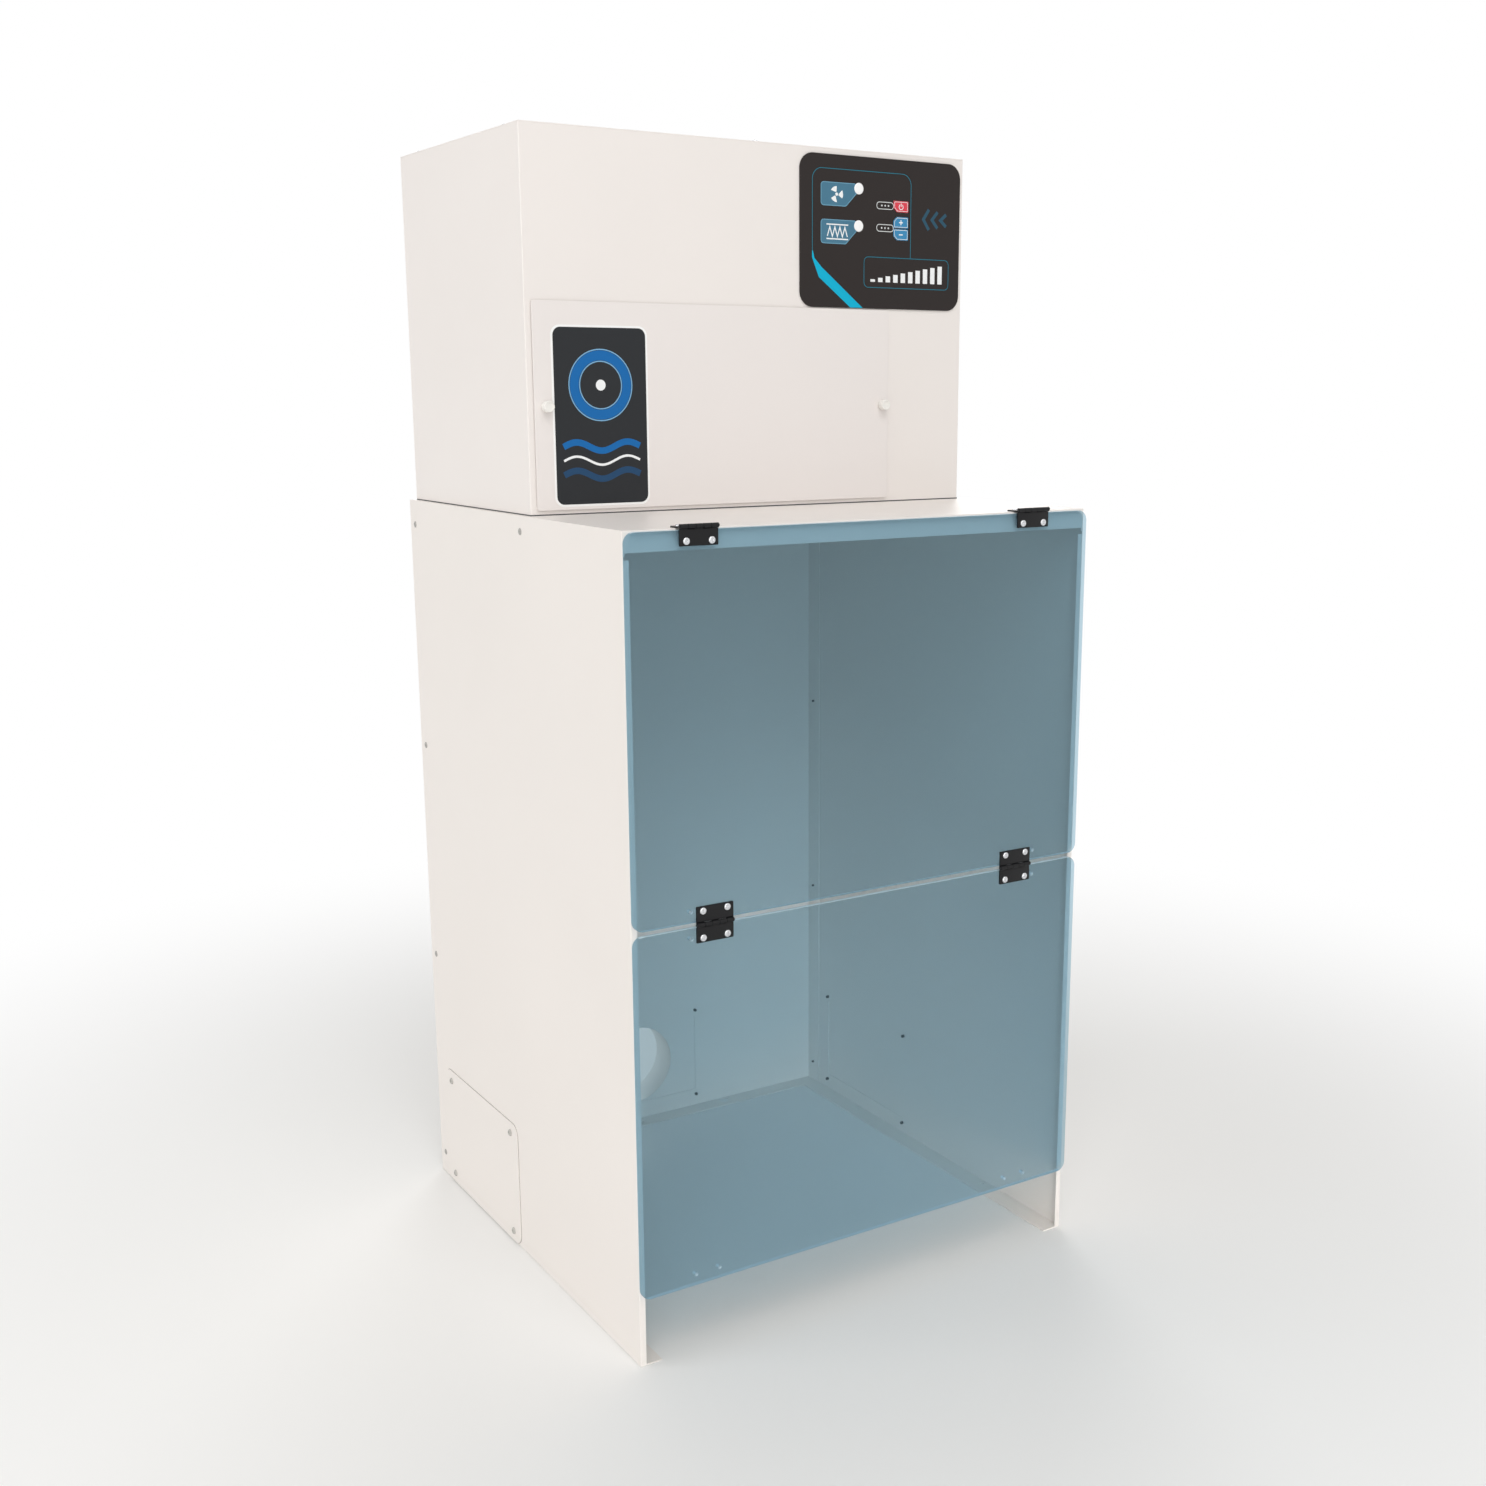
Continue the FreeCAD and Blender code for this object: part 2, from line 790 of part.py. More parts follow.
# Hose collar: a turned flange and a plain spigot that the hose slides over
collar = new_body("hose_collar")
collar_root = back + metal
collar_end = collar_root + size("collar_length")
collar_section = [
    (collar_root, bore_radius),
    (collar_root, hose_radius + size("collar_flange")),
    (collar_root + metal, hose_radius + size("collar_flange")),
    (collar_root + metal, hose_radius),
    (collar_end, hose_radius),
    (collar_end, bore_radius),
]
turned(collar, "side", "Y_Axis", collar_section)
move_to(collar, z=rear_port_z)
grouped(
    "collar_rivets",
    [
        rivet(f"collar_rivet_{index}", "+y", (x, collar_root + metal, rear_port_z + z))
        for index, (x, z) in enumerate(collar_rivet_places)
    ],
)

# Inlet grille under the roof, slotted across
grille = new_body("ceiling_grille")
grille_lap = size("grille_lap")
grille_top = roof - metal
grille_low = grille_top - size("grille_thickness")
grille_outline = rectangle(inlet[0] - grille_lap, inlet[1] + grille_lap, inlet[2] - grille_lap,
                           inlet[3] + grille_lap)
pad(grille, "top", grille_low, grille_top, grille_outline)
slot_pitch = size("grille_slot") + size("grille_bar")
slot_count = int((inlet[3].number - inlet[2].number) // slot_pitch.number)
middle_bar = size("grille_bar")
first_slot = inlet[2] + size("grille_bar") / 2
for index in range(slot_count):
    low = first_slot + slot_pitch * index
    high = low + size("grille_slot")
    middle = (inlet[0] + inlet[1]) / 2
    left_slot = rectangle(inlet[0] + middle_bar, middle - middle_bar / 2, low, high)
    right_slot = rectangle(middle + middle_bar / 2, inlet[1] - middle_bar, low, high)
    pocket(grille, "top", grille_low, grille_top, left_slot, right_slot)

# Light: a folded channel behind the roof's front flange and the diffuser in its mouth
light_back = front + metal + size("light_setback") + size("light_width")
light_front = light_back - size("light_width")
light_half = size("light_length") / 2
light_wall = size("light_wall")
light_low = grille_top - size("light_height")
channel = new_body("led_channel")
channel_section = [
    (light_front, light_low),
    (light_front + light_wall, light_low),
    (light_front + light_wall, grille_top - light_wall),
    (light_back - light_wall, grille_top - light_wall),
    (light_back - light_wall, light_low),
    (light_back, light_low),
    (light_back, grille_top),
    (light_front, grille_top),
]
pad(channel, "side", -light_half, light_half, channel_section)
diffuser = new_body("led_diffuser")
mouth_front = light_front + light_wall
mouth_back = light_back - light_wall
bow_centre = ((mouth_front + mouth_back) / 2, light_low + (mouth_back - mouth_front))
diffuser_section = [
    (mouth_front, light_low),
    (mouth_back, light_low, *bow_centre),
    (mouth_back, light_low + light_wall),
    (mouth_front, light_low + light_wall),
]
pad(diffuser, "side", -light_half, light_half, diffuser_section)

# Housing: front and sides wrapped from one sheet, with flanges at the top, the foot and the back
wrap = new_body("housing_wrap")
lid_seat = housing_top - metal
panel_seat = housing_back - metal


def wrap_outline(depth, rear):
    """A three-sided band of a given depth, open at the back."""
    return [
        (-housing_half, rear),
        (-housing_half, housing_front),
        (housing_half, housing_front),
        (housing_half, rear),
        (housing_half - depth, rear),
        (housing_half - depth, housing_front + depth),
        (depth - housing_half, housing_front + depth),
        (depth - housing_half, rear),
    ]


pad(wrap, "top", roof, lid_seat, wrap_outline(metal, panel_seat))
pad(wrap, "top", lid_seat - metal, lid_seat, wrap_outline(housing_flange, panel_seat))
pad(wrap, "top", roof, roof + metal, wrap_outline(housing_flange, panel_seat))
flange_inner = housing_half - housing_flange
for left, right in ((-housing_half, -flange_inner), (flange_inner, housing_half)):
    pad(wrap, "front", panel_seat - metal, panel_seat, rectangle(left, right, roof, lid_seat))
knob_z = (door_low + door_high) / 2
left_knob_x = door_left + size("left_knob_inset")
right_knob_x = door_right - size("right_knob_inset")
stud_radius = size("stud_diameter") / 2
stud_hole = stud_radius + size("stud_clearance")
opening_left = door_left + size("door_side_lap")
opening_right = door_right - size("door_side_lap")
opening_low = door_low + size("door_end_lap")
opening_high = door_high - size("door_end_lap")
door_opening = rectangle(opening_left, opening_right, opening_low, opening_high)

keypad_right = housing_half - size("keypad_right_margin")
keypad_left = keypad_right - size("keypad_width")
keypad_high = housing_top - size("keypad_top_margin")
keypad_low = keypad_high - size("keypad_height")
key_x = keypad_left + size("key_column_from_left")
lens_x = keypad_left + size("lens_column_from_left")
KEYS = {
    "power_key": (keypad_high - size("power_key_from_top"), "low"),
    "speed_up_key": (keypad_high - size("speed_up_key_from_top"), "high"),
    "speed_down_key": (keypad_high - size("speed_down_key_from_top"), "low"),
}
lens_heights = [keypad_high - size("upper_lens_from_top"), keypad_high - size("lower_lens_from_top")]
lens_radius = size("lens_diameter") / 2
stem_half = size("key_stem") / 2
stem_opening = stem_half + size("key_stem_clearance")
front_cuts = [door_opening]
front_cuts += [octagon(x, knob_z, stud_hole) for x in (left_knob_x, right_knob_x)]
front_cuts += [
    rectangle(key_x - stem_opening, key_x + stem_opening, height - stem_opening, height + stem_opening)
    for height, _ in KEYS.values()
]
front_cuts += [octagon(lens_x, height, lens_radius / 2) for height in lens_heights]
pocket(wrap, "front", housing_front, housing_front + metal, *front_cuts)
lid_inset = size("lid_screw_inset")
lid_screw_places = [
    (side * (housing_half - housing_flange / 2), place)
    for side in (-1, 1)
    for place in (housing_front + lid_inset, panel_seat - lid_inset)
]
lid_screw_places.append((zero, housing_front + housing_flange / 2))
rear_screw_heights = [roof + lid_inset, (roof + lid_seat) / 2, lid_seat - lid_inset]
panel_screw_places = [
    (side * (housing_half - housing_flange / 2), height) for side in (-1, 1) for height in rear_screw_heights
]
round_bends(
    wrap,
    size("bend_radius"),
    lambda a, b: max(a.y, b.y) < 0.1 + housing_front.number
    and min(abs(a.x), abs(b.x)) > housing_half.number - 0.1
    and abs(a.z - b.z) > size("housing_height").number * 0.9,
)
grouped(
    "housing_base_rivets",
    [
        rivet(f"base_rivet_{index}", "+z", (x, y, roof + metal))
        for index, (x, y) in enumerate(base_rivet_places)
    ],
)

lid = new_body("housing_lid")
lid_outline = rectangle(-housing_half, housing_half, housing_front, housing_back)
pad(lid, "top", lid_seat, housing_top, lid_outline)

# Levels of the filter stack and of the fan deck on it
seat_top = roof + size("filter_seat_height")
prefilter_top = seat_top + size("prefilter_height")
hepa_top = prefilter_top + size("hepa_height")
deck_low = hepa_top + size("seal_height")
deck_top = deck_low + metal

# Blower: its axis, and the scroll's arcs, which grow by one step each quarter turn
blower_x = size("blower_from_left") - housing_half
blower_y = housing_front + size("blower_from_front")
impeller_radius = size("impeller_diameter") / 2
first_arc = impeller_radius + size("scroll_gap")
step_out = size("scroll_step")
scroll_wall = size("scroll_wall")
scroll_top = deck_top + size("scroll_height")
outlet_left = size("outlet_inset")
outlet_right = first_arc + step_out * 3
outlet_end = panel_seat - blower_y


def scroll_outline(grow):
    """The scroll seen from above, from its axis, with its wall's thickness or nothing added."""
    nose_x = outlet_left - size("scroll_nose")
    reach = first_arc + size("scroll_nose")
    nose_y = root(reach * reach - nose_x * nose_x)
    arc = first_arc + grow
    touch = arc / reach
    return [
        (outlet_left - grow, outlet_end),
        (outlet_left - grow, nose_y),
        (nose_x * touch, nose_y * touch, nose_x, nose_y),
        (-arc, zero, zero, zero),
        (step_out, -(arc + step_out), step_out, zero),
        (outlet_right + grow, step_out, step_out, step_out),
        (outlet_right + grow, outlet_end),
    ]


casing = new_body("blower_casing")
pad(casing, "top", deck_top, scroll_top, scroll_outline(scroll_wall))
pocket(casing, "top", deck_top + scroll_wall, scroll_top, scroll_outline(zero))
air_inlet = size("air_inlet_diameter") / 2
pocket(casing, "top", deck_top, deck_top + scroll_wall, circle(zero, zero, air_inlet))
move_to(casing, x=blower_x, y=blower_y)

blower_cover = new_body("blower_cover")
cover_top = scroll_top + scroll_wall
motor_screw_reach = size("motor_screw_circle") / 2
motor_screw_places = [
    (motor_screw_reach * math.cos(math.radians(turn)), motor_screw_reach * math.sin(math.radians(turn)))
    for turn in (90, 210, 330)
]
hub_hole = circle(zero, zero, size("hub_diameter") / 2 + size("hub_hole_gap"))
pad(blower_cover, "top", scroll_top, cover_top, scroll_outline(scroll_wall), hub_hole)
move_to(blower_cover, x=blower_x, y=blower_y)

motor = new_body("blower_motor")
motor_radius = size("motor_diameter") / 2
motor_flange_top = cover_top + size("motor_flange_height")
motor_top = cover_top + size("motor_height")
shaft_radius = size("shaft_diameter") / 2
shaft_bore = shaft_radius + size("shaft_clearance")
shaft_top = cover_top + size("shaft_in_motor")
motor_section = [
    (shaft_bore, cover_top),
    (size("motor_flange_diameter") / 2, cover_top),
    (size("motor_flange_diameter") / 2, motor_flange_top),
    (motor_radius, motor_flange_top),
    (motor_radius, motor_top),
    (zero, motor_top),
    (zero, shaft_top + size("shaft_end_gap")),
    (shaft_bore, shaft_top + size("shaft_end_gap")),
]
turned(motor, "front", "Z_Axis", motor_section)
move_to(motor, x=blower_x, y=blower_y)
grouped(
    "motor_screws",
    [
        panel_screw(f"motor_screw_{index}", "+z", (blower_x + x, blower_y + y, motor_flange_top))
        for index, (x, y) in enumerate(motor_screw_places)
    ],
)

# Impeller: hub and back plate, forward-curved blades all round, and the ring that ties their feet
impeller = new_body("impeller")
impeller_top = scroll_top - size("impeller_top_gap")
impeller_low = impeller_top - size("impeller_height")
hub_radius = size("hub_diameter") / 2
hub_low = impeller_top - size("hub_length")
plate_low = impeller_top - size("impeller_plate")
blade_depth = size("blade_depth")
blade_root = impeller_radius - blade_depth
impeller_section = [
    (shaft_bore, hub_low),
    (hub_radius, hub_low),
    (hub_radius, plate_low),
    (impeller_radius, plate_low),
    (impeller_radius, impeller_top),
    (shaft_bore, impeller_top),
]
turned(impeller, "front", "Z_Axis", impeller_section)
ring_top = impeller_low + size("impeller_ring")
ring_circles = [circle(zero, zero, impeller_radius), circle(zero, zero, blade_root)]
pad(impeller, "top", impeller_low, ring_top, *ring_circles)
blade_wall = size("blade_thickness")
blade_start = blade_root + blade_wall / 4

# A blade's arc in shares of its depth, and the turns in degrees of its tip, its bends and its root
BLADE_ARC = 0.8
BLADE_CENTRE_OUT = 0.35
BLADE_CENTRE_BACK = 0.75
BLADE_TURNS = (36, 61, 87, 112)
blade_centre = (blade_start + blade_depth * BLADE_CENTRE_OUT, -blade_depth * BLADE_CENTRE_BACK)


def blade_place(reach, turn):
    """A point of the blade's arc, at a radius from its centre and a turn from +X."""
    return (
        blade_centre[0] + reach * math.cos(math.radians(turn)),
        blade_centre[1] + reach * math.sin(math.radians(turn)),
    )


blade_arc = blade_depth * BLADE_ARC
blade_outline = [blade_place(blade_arc, turn) for turn in BLADE_TURNS]
blade_outline += [blade_place(blade_arc - blade_wall, turn) for turn in reversed(BLADE_TURNS)]
blade = pad(impeller, "top", impeller_low, plate_low + size("impeller_plate") / 2, blade_outline)
blades = impeller.newObject("PartDesign::PolarPattern", "impeller_blades")
blades.Originals = [blade]
blades.Axis = (plane_of(impeller, "Z_Axis"), [""])
blades.Angle = 360
bind(blades, "Occurrences", size("blade_count"))
impeller.Tip = blades
move_to(impeller, x=blower_x, y=blower_y)
shaft_low = hub_low - size("shaft_overhang")
shaft = bar("shaft", "+z", (blower_x, blower_y, shaft_low), shaft_radius, shaft_top - shaft_low)
part(shaft, "motor_shaft")

# Fan deck over the filters, with flanges down the housing's sides, and the wall beside the filters
deck = new_body("fan_deck")
deck_half = housing_half - metal
deck_outline = rectangle(-deck_half, deck_half, housing_front + metal, panel_seat)
deck_hole = circle(blower_x, blower_y, air_inlet + size("deck_hole_gap"))
deck_cuts = [
    rectangle(left, right, panel_seat - metal, panel_seat)
    for left, right in ((-deck_half, -flange_inner), (flange_inner, deck_half))
]
pad(deck, "top", deck_low, deck_top, deck_outline, deck_hole)
for low, high in ((-deck_half, metal - deck_half), (deck_half - metal, deck_half)):
    flange = rectangle(housing_front + metal, panel_seat - metal, deck_low - housing_flange, deck_low)
    pad(deck, "side", low, high, flange)
pocket(deck, "top", deck_low, deck_top, *deck_cuts)

bay_x = filter_right + size("bay_wall_gap")
bay_wall = new_body("filter_bay_wall")
bay_front = housing_front + housing_flange
bay_outline = rectangle(bay_front, panel_seat, roof, deck_low)
pad(bay_wall, "side", bay_x, bay_x + metal, bay_outline)
pad(bay_wall, "top", roof, roof + metal, rectangle(bay_x, bay_x + housing_flange, bay_front, panel_seat))
pad(bay_wall, "top", deck_low - metal, deck_low,
    rectangle(bay_x, bay_x + housing_flange, bay_front, panel_seat))


# Filters, stacked from their seat on the roof up to the seal under the deck
def ring(label, low, high, width):
    """A frame round the filters' footprint."""
    body = new_body(label)
    outer = rectangle(filter_left, filter_right, filter_front, filter_back)
    inner = rectangle(filter_left + width, filter_right - width, filter_front + width, filter_back - width)
    pad(body, "top", low, high, outer, inner)
    return body


ring("filter_seat", roof, seat_top, inlet_margin)
ring("prefilter_frame", seat_top, prefilter_top, size("prefilter_rim"))
rim = size("prefilter_rim")
part(
    block(
        "mat",
        (filter_left + rim, filter_right - rim),
        (filter_front + rim, filter_back - rim),
        (seat_top + metal, prefilter_top - metal),
    ),
    "prefilter_mat",
)
ring("hepa_frame", prefilter_top, hepa_top, size("hepa_rim"))
ring("filter_seal", hepa_top, deck_low, size("seal_width"))


def pleated_paper():
    """A sheet of paper folded up and down across the HEPA frame, its ends against the frame's walls."""
    left = filter_left.number + SIZES["hepa_rim"]
    right = filter_right.number - SIZES["hepa_rim"]
    low = prefilter_top.number + SIZES["pleat_inset"]
    high = hepa_top.number - SIZES["pleat_inset"]
    near = filter_front.number + SIZES["hepa_rim"]
    far = filter_back.number - SIZES["hepa_rim"]
    half_paper = SIZES["pleat_paper"] / 2
    pleats = int((right - left) // SIZES["pleat_pitch"])
    pitch = (right - left) / pleats
    fold = SIZES["pleat_fold"]
    upper = []
    lower = []
    for index in range(pleats):
        start = left + pitch * index
        crest = start + (pitch - fold) / 2
        finish = start + pitch - half_paper
        start += half_paper
        upper += [(start, low + half_paper), (crest - half_paper, high + half_paper)]
        upper += [(crest + fold + half_paper, high + half_paper), (finish, low + half_paper)]
        lower += [(start, low - half_paper), (crest + half_paper, high - half_paper)]
        lower += [(crest + fold - half_paper, high - half_paper), (finish, low - half_paper)]
    points = [FreeCAD.Vector(x, near, z) for x, z in upper + lower[::-1]]
    wire = Part.makePolygon(points + points[:1])
    return Part.Face(wire).extrude(FreeCAD.Vector(0, far - near, 0))


media = doc.addObject("Part::Feature", "media")
media.Shape = pleated_paper()
part(media, "hepa_media")

# Rear panel of the housing, with the exhaust opening and the power inlet's cut-out
outlet_x = (blower_x + outlet_left, blower_x + outlet_right)
outlet_z = (deck_top + scroll_wall, scroll_top)
inlet_x = housing_half - size("power_inlet_from_right")
inlet_z = roof + size("power_inlet_above_roof")


def inlet_block(width, height):
    """A rectangle round the middle of the power inlet."""
    return rectangle(inlet_x - width / 2, inlet_x + width / 2, inlet_z - height / 2, inlet_z + height / 2)


inlet_screw_places = [(inlet_x + size("power_screw_spacing") / 2 * side, inlet_z) for side in (-1, 1)]
rear_panel = new_body("housing_rear_panel")
exhaust_rim = size("exhaust_rim")
exhaust_screw_places = [
    (x, z)
    for x in (outlet_x[0] - exhaust_rim / 2, outlet_x[1] + exhaust_rim / 2)
    for z in (outlet_z[0] + exhaust_rim / 2, outlet_z[1] - exhaust_rim / 2)
]
rear_cuts = [rectangle(*outlet_x, *outlet_z)]
cutout_gap = size("power_cutout_gap") * 2
rear_cuts.append(inlet_block(size("power_body_width") + cutout_gap, size("power_body_height") + cutout_gap))
rear_sheet = rectangle(-housing_half, housing_half, roof, lid_seat)
pad(rear_panel, "front", panel_seat, housing_back, rear_sheet, *rear_cuts)

# Exhaust grille: a rim round slanted vanes
exhaust = new_body("exhaust_grille")
exhaust_back = housing_back + size("exhaust_depth")
exhaust_window = rectangle(*outlet_x, *outlet_z)
rim_outline = rounded(
    outlet_x[0] - exhaust_rim,
    outlet_x[1] + exhaust_rim,
    outlet_z[0] - exhaust_rim,
    outlet_z[1] + exhaust_rim,
    size("port_corner"),
)
pad(exhaust, "front", housing_back, exhaust_back, rim_outline, exhaust_window)
vane = size("vane_thickness")
vane_outline = [
    (housing_back, outlet_z[0] + vane * 2),
    (exhaust_back, outlet_z[0]),
    (exhaust_back, outlet_z[0] + vane),
    (housing_back, outlet_z[0] + vane * 3),
]
vane_overlap = exhaust_rim / 4
first_vane = pad(exhaust, "side", outlet_x[0] - vane_overlap, outlet_x[1] + vane_overlap, vane_outline)
vanes = exhaust.newObject("PartDesign::LinearPattern", "exhaust_vanes")
vanes.Originals = [first_vane]
vanes.Direction = (plane_of(exhaust, "Z_Axis"), [""])
vane_count = int((outlet_z[1].number - outlet_z[0].number) // SIZES["vane_pitch"])
vanes.Occurrences = vane_count
bind(vanes, "Length", size("vane_pitch") * (vane_count - 1))
exhaust.Tip = vanes

# Power inlet: a three-pin appliance inlet
socket = new_body("power_inlet")
inlet_face = housing_back + size("power_flange_thickness")
recess_floor = inlet_face - size("power_recess_depth")
socket_flange = inlet_block(size("power_flange_width"), size("power_flange_height"))
pad(socket, "front", housing_back, inlet_face, socket_flange)
socket_body = inlet_block(size("power_body_width"), size("power_body_height"))
pad(socket, "front", inlet_face - size("power_body_depth"), inlet_face, socket_body)
socket_recess = inlet_block(size("power_recess_width"), size("power_recess_height"))
pocket(socket, "front", recess_floor, inlet_face, socket_recess)
pin_side = size("power_pin_width") / 2
pin_half = size("power_pin_height") / 2
pin_tip = inlet_face - size("power_pin_setback")
for side, rise in ((-1, -1), (0, 1), (1, -1)):
    x = inlet_x + size("power_pin_spacing") * side
    z = inlet_z + size("power_pin_rise") * rise
    prong = rectangle(x - pin_side, x + pin_side, z - pin_half, z + pin_half)
    pad(socket, "front", recess_floor - pin_side, pin_tip, prong)

# Screws of the housing: lid, rear panel, exhaust grille and power inlet
housing_screws = [
    panel_screw(f"lid_screw_{index}", "+z", (x, y, housing_top))
    for index, (x, y) in enumerate(lid_screw_places)
]
housing_screws += [
    panel_screw(f"panel_screw_{index}", "+y", (x, housing_back, z))
    for index, (x, z) in enumerate(panel_screw_places)
]
housing_screws += [
    panel_screw(f"exhaust_screw_{index}", "+y", (x, exhaust_back, z))
    for index, (x, z) in enumerate(exhaust_screw_places)
]
housing_screws += [
    panel_screw(f"inlet_screw_{index}", "+y", (x, inlet_face, z))
    for index, (x, z) in enumerate(inlet_screw_places)
]
grouped("housing_screws", housing_screws)

# Filter door, its gasket, its two knobs and the inserts that their studs screw into
door_inside = housing_front - size("gasket_clearance") - size("gasket_thickness")
door_outside = door_inside - size("door_thickness")
door = new_body("filter_door")
door_outline = rounded(door_left, door_right, door_low, door_high, size("door_corner"))
knob_holes = [octagon(x, knob_z, stud_hole) for x in (left_knob_x, right_knob_x)]
pad(door, "front", door_outside, door_inside, door_outline, *knob_holes)
gasket = new_body("door_gasket")
gasket_width = size("gasket_width")
gasket_outer = rectangle(
    opening_left - gasket_width,
    opening_right + gasket_width,
    opening_low - gasket_width,
    opening_high + gasket_width,
)
pad(gasket, "front", door_inside, door_inside + size("gasket_thickness"), gasket_outer, door_opening)

knob_radius = size("knob_diameter") / 2
knob_seat = door_outside - size("knob_gap")
KNOB_FLATS = 16
for label, knob_x in (("left_door_knob", left_knob_x), ("right_door_knob", right_knob_x)):
    seat = (knob_x, knob_seat, knob_z)
    grip = prism(label + "_grip", "-y", seat, KNOB_FLATS, knob_radius, size("knob_length"))
    reach_in = size("knob_gap") + size("stud_reach")
    stud = bar(label + "_stud", "+y", seat, stud_radius, reach_in)
    part(fused(label + "_solid", grip, stud), label)

HEXAGON = 6
inserts = []
insert_bore = stud_radius + size("thread_clearance")
for index, x in enumerate((left_knob_x, right_knob_x)):
    base = (x, housing_front + metal, knob_z)
    outer = prism(f"insert_{index}", "+y", base, HEXAGON, size("insert_diameter") / 2, size("insert_length"))
    bore = prism(f"insert_bore_{index}", "+y", base, SMALL_ROUND_SIDES, insert_bore, size("insert_length"))
    inserts.append(cut(f"door_insert_{index}", outer, bore))
grouped("door_knob_inserts", inserts)


# Keypad: overlay, keys with a stem behind, indicator lenses, and the board that they work
def key_outline(height, bevelled, grow):
    """A key with one bevelled corner on its left, seen from the front, grown by a clearance."""
    left = key_x - size("key_width") / 2 - grow
    right = key_x + size("key_width") / 2 + grow
    low = height - size("key_height") / 2 - grow
    high = height + size("key_height") / 2 + grow
    bevel = size("key_bevel") + grow * (2 - math.sqrt(2))
    if bevelled == "low":
        return [(left + bevel, low), (right, low), (right, high), (left, high), (left, low + bevel)]
    return [(left, low), (right, low), (right, high), (left + bevel, high), (left, high - bevel)]


keypad_face = housing_front - size("keypad_thickness")
overlay = new_body("keypad_overlay")
overlay_outline = rounded(keypad_left, keypad_right, keypad_low, keypad_high, size("keypad_corner"))
overlay_cuts = [key_outline(height, corner, size("key_clearance")) for height, corner in KEYS.values()]
overlay_cuts += [circle(lens_x, height, lens_radius + size("lens_clearance")) for height in lens_heights]
pad(overlay, "front", keypad_face, housing_front, overlay_outline, *overlay_cuts)

board_front = housing_front + size("board_depth")
board_back = board_front + size("board_thickness")
stem_end = board_front - size("stem_to_board")
key_back = housing_front - size("key_travel") - size("key_back_gap")
for label, (height, corner) in KEYS.items():
    key = new_body(label)
    key_face = keypad_face - size("key_stand_proud")
    pad(key, "front", key_face, key_back, key_outline(height, corner, zero))
    stem = rectangle(key_x - stem_half, key_x + stem_half, height - stem_half, height + stem_half)
    pad(key, "front", key_back, stem_end, stem)

LENS_SIDES = 16
keypad_thickness = size("keypad_thickness")
lenses = [
    prism(f"lens_{index}", "+y", (lens_x, keypad_face, height), LENS_SIDES, lens_radius, keypad_thickness)
    for index, height in enumerate(lens_heights)
]
grouped("indicator_lenses", lenses)

board_middle = (keypad_left + keypad_right) / 2
board_level = (keypad_low + keypad_high) / 2
board_edges = (
    board_middle - size("board_width") / 2,
    board_middle + size("board_width") / 2,
    board_level - size("board_height") / 2,
    board_level + size("board_height") / 2,
)
hole_inset = size("board_hole_inset")
standoff_places = [
    (x, z)
    for x in (board_edges[0] + hole_inset, board_edges[1] - hole_inset)
    for z in (board_edges[2] + hole_inset, board_edges[3] - hole_inset)
]
board = new_body("control_board")
pad(board, "front", board_front, board_back, rectangle(*board_edges))
grouped(
    "board_standoffs",
    [
        prism(f"standoff_{index}", "+y", (x, housing_front + metal, z), HEXAGON,
              size("standoff_diameter") / 2, size("board_depth") - metal)
        for index, (x, z) in enumerate(standoff_places)
    ],
)
switch_half = size("switch_width") / 2
switch_face = stem_end + size("key_travel") + size("switch_gap")
board_parts = []
for label, (height, _) in KEYS.items():
    sides = (key_x - switch_half, key_x + switch_half)
    ends = (height - switch_half, height + switch_half)
    board_parts.append(block(label + "_switch", sides, (switch_face, board_front), ends))
# Each part's width, height and depth, and its middle in shares of the board's width and height
BOARD_PARTS = {
    "relay": (22, 18, 16, -0.3, -0.2),
    "transformer": (34, 28, 26, -0.23, 0.23),
    "driver": (14, 14, 3, 0.07, -0.23),
    "terminal": (40, 10, 12, 0.27, 0.35),
    "capacitor": (12, 12, 22, -0.03, 0.26),
}
for label, (width, height, depth, across, up) in BOARD_PARTS.items():
    middle = board_middle + size("board_width") * across
    level = board_level + size("board_height") * up
    sides = (middle - width / 2, middle + width / 2)
    ends = (level - height / 2, level + height / 2)
    board_parts.append(block(label, sides, (board_back, board_back + depth), ends))
grouped("board_components", board_parts)

# Window panes, both cut to one size
pane_half = half_width - size("pane_side_clearance")
upper_pane_low = seam + size("pane_gap") / 2
lower_pane_high = seam - size("pane_gap") / 2
pane_height = size("pane_height")


def places_across(middles, height):
    """Where hinge screws pass through a pane at one height."""
    return [(x, height) for middle in middles for x in hinge_screw_xs(middle)]


def pane(label, low, places):
    """A pane with round corners and a screw hole at each place."""
    body = plain_body(label + "_sheet")
    outline = rounded(-pane_half, pane_half, low, low + pane_height, size("pane_corner"))
    pad(body, "front", pane_outside, pane_inside, outline)
    thickness = size("pane_thickness")
    holes = [
        prism(f"{label}_hole_{index}", "+y", (x, pane_outside, z), SMALL_ROUND_SIDES, hinge_hole, thickness)
        for index, (x, z) in enumerate(places)
    ]
    part(cut(label + "_drilled", body, *holes), label)


both_hinges = (roof_hinge_x, middle_hinge_x)
upper_places = places_across((roof_hinge_x,), roof_pin_z - hinge_reach)
pane("upper_window", upper_pane_low, upper_places + places_across(both_hinges, seam + hinge_reach))
lower_pane_low = lower_pane_high - pane_height
lower_places = places_across((roof_hinge_x,), lower_pane_low + size("spare_hole_inset"))
pane("lower_window", lower_pane_low, lower_places + places_across(both_hinges, seam - hinge_reach))

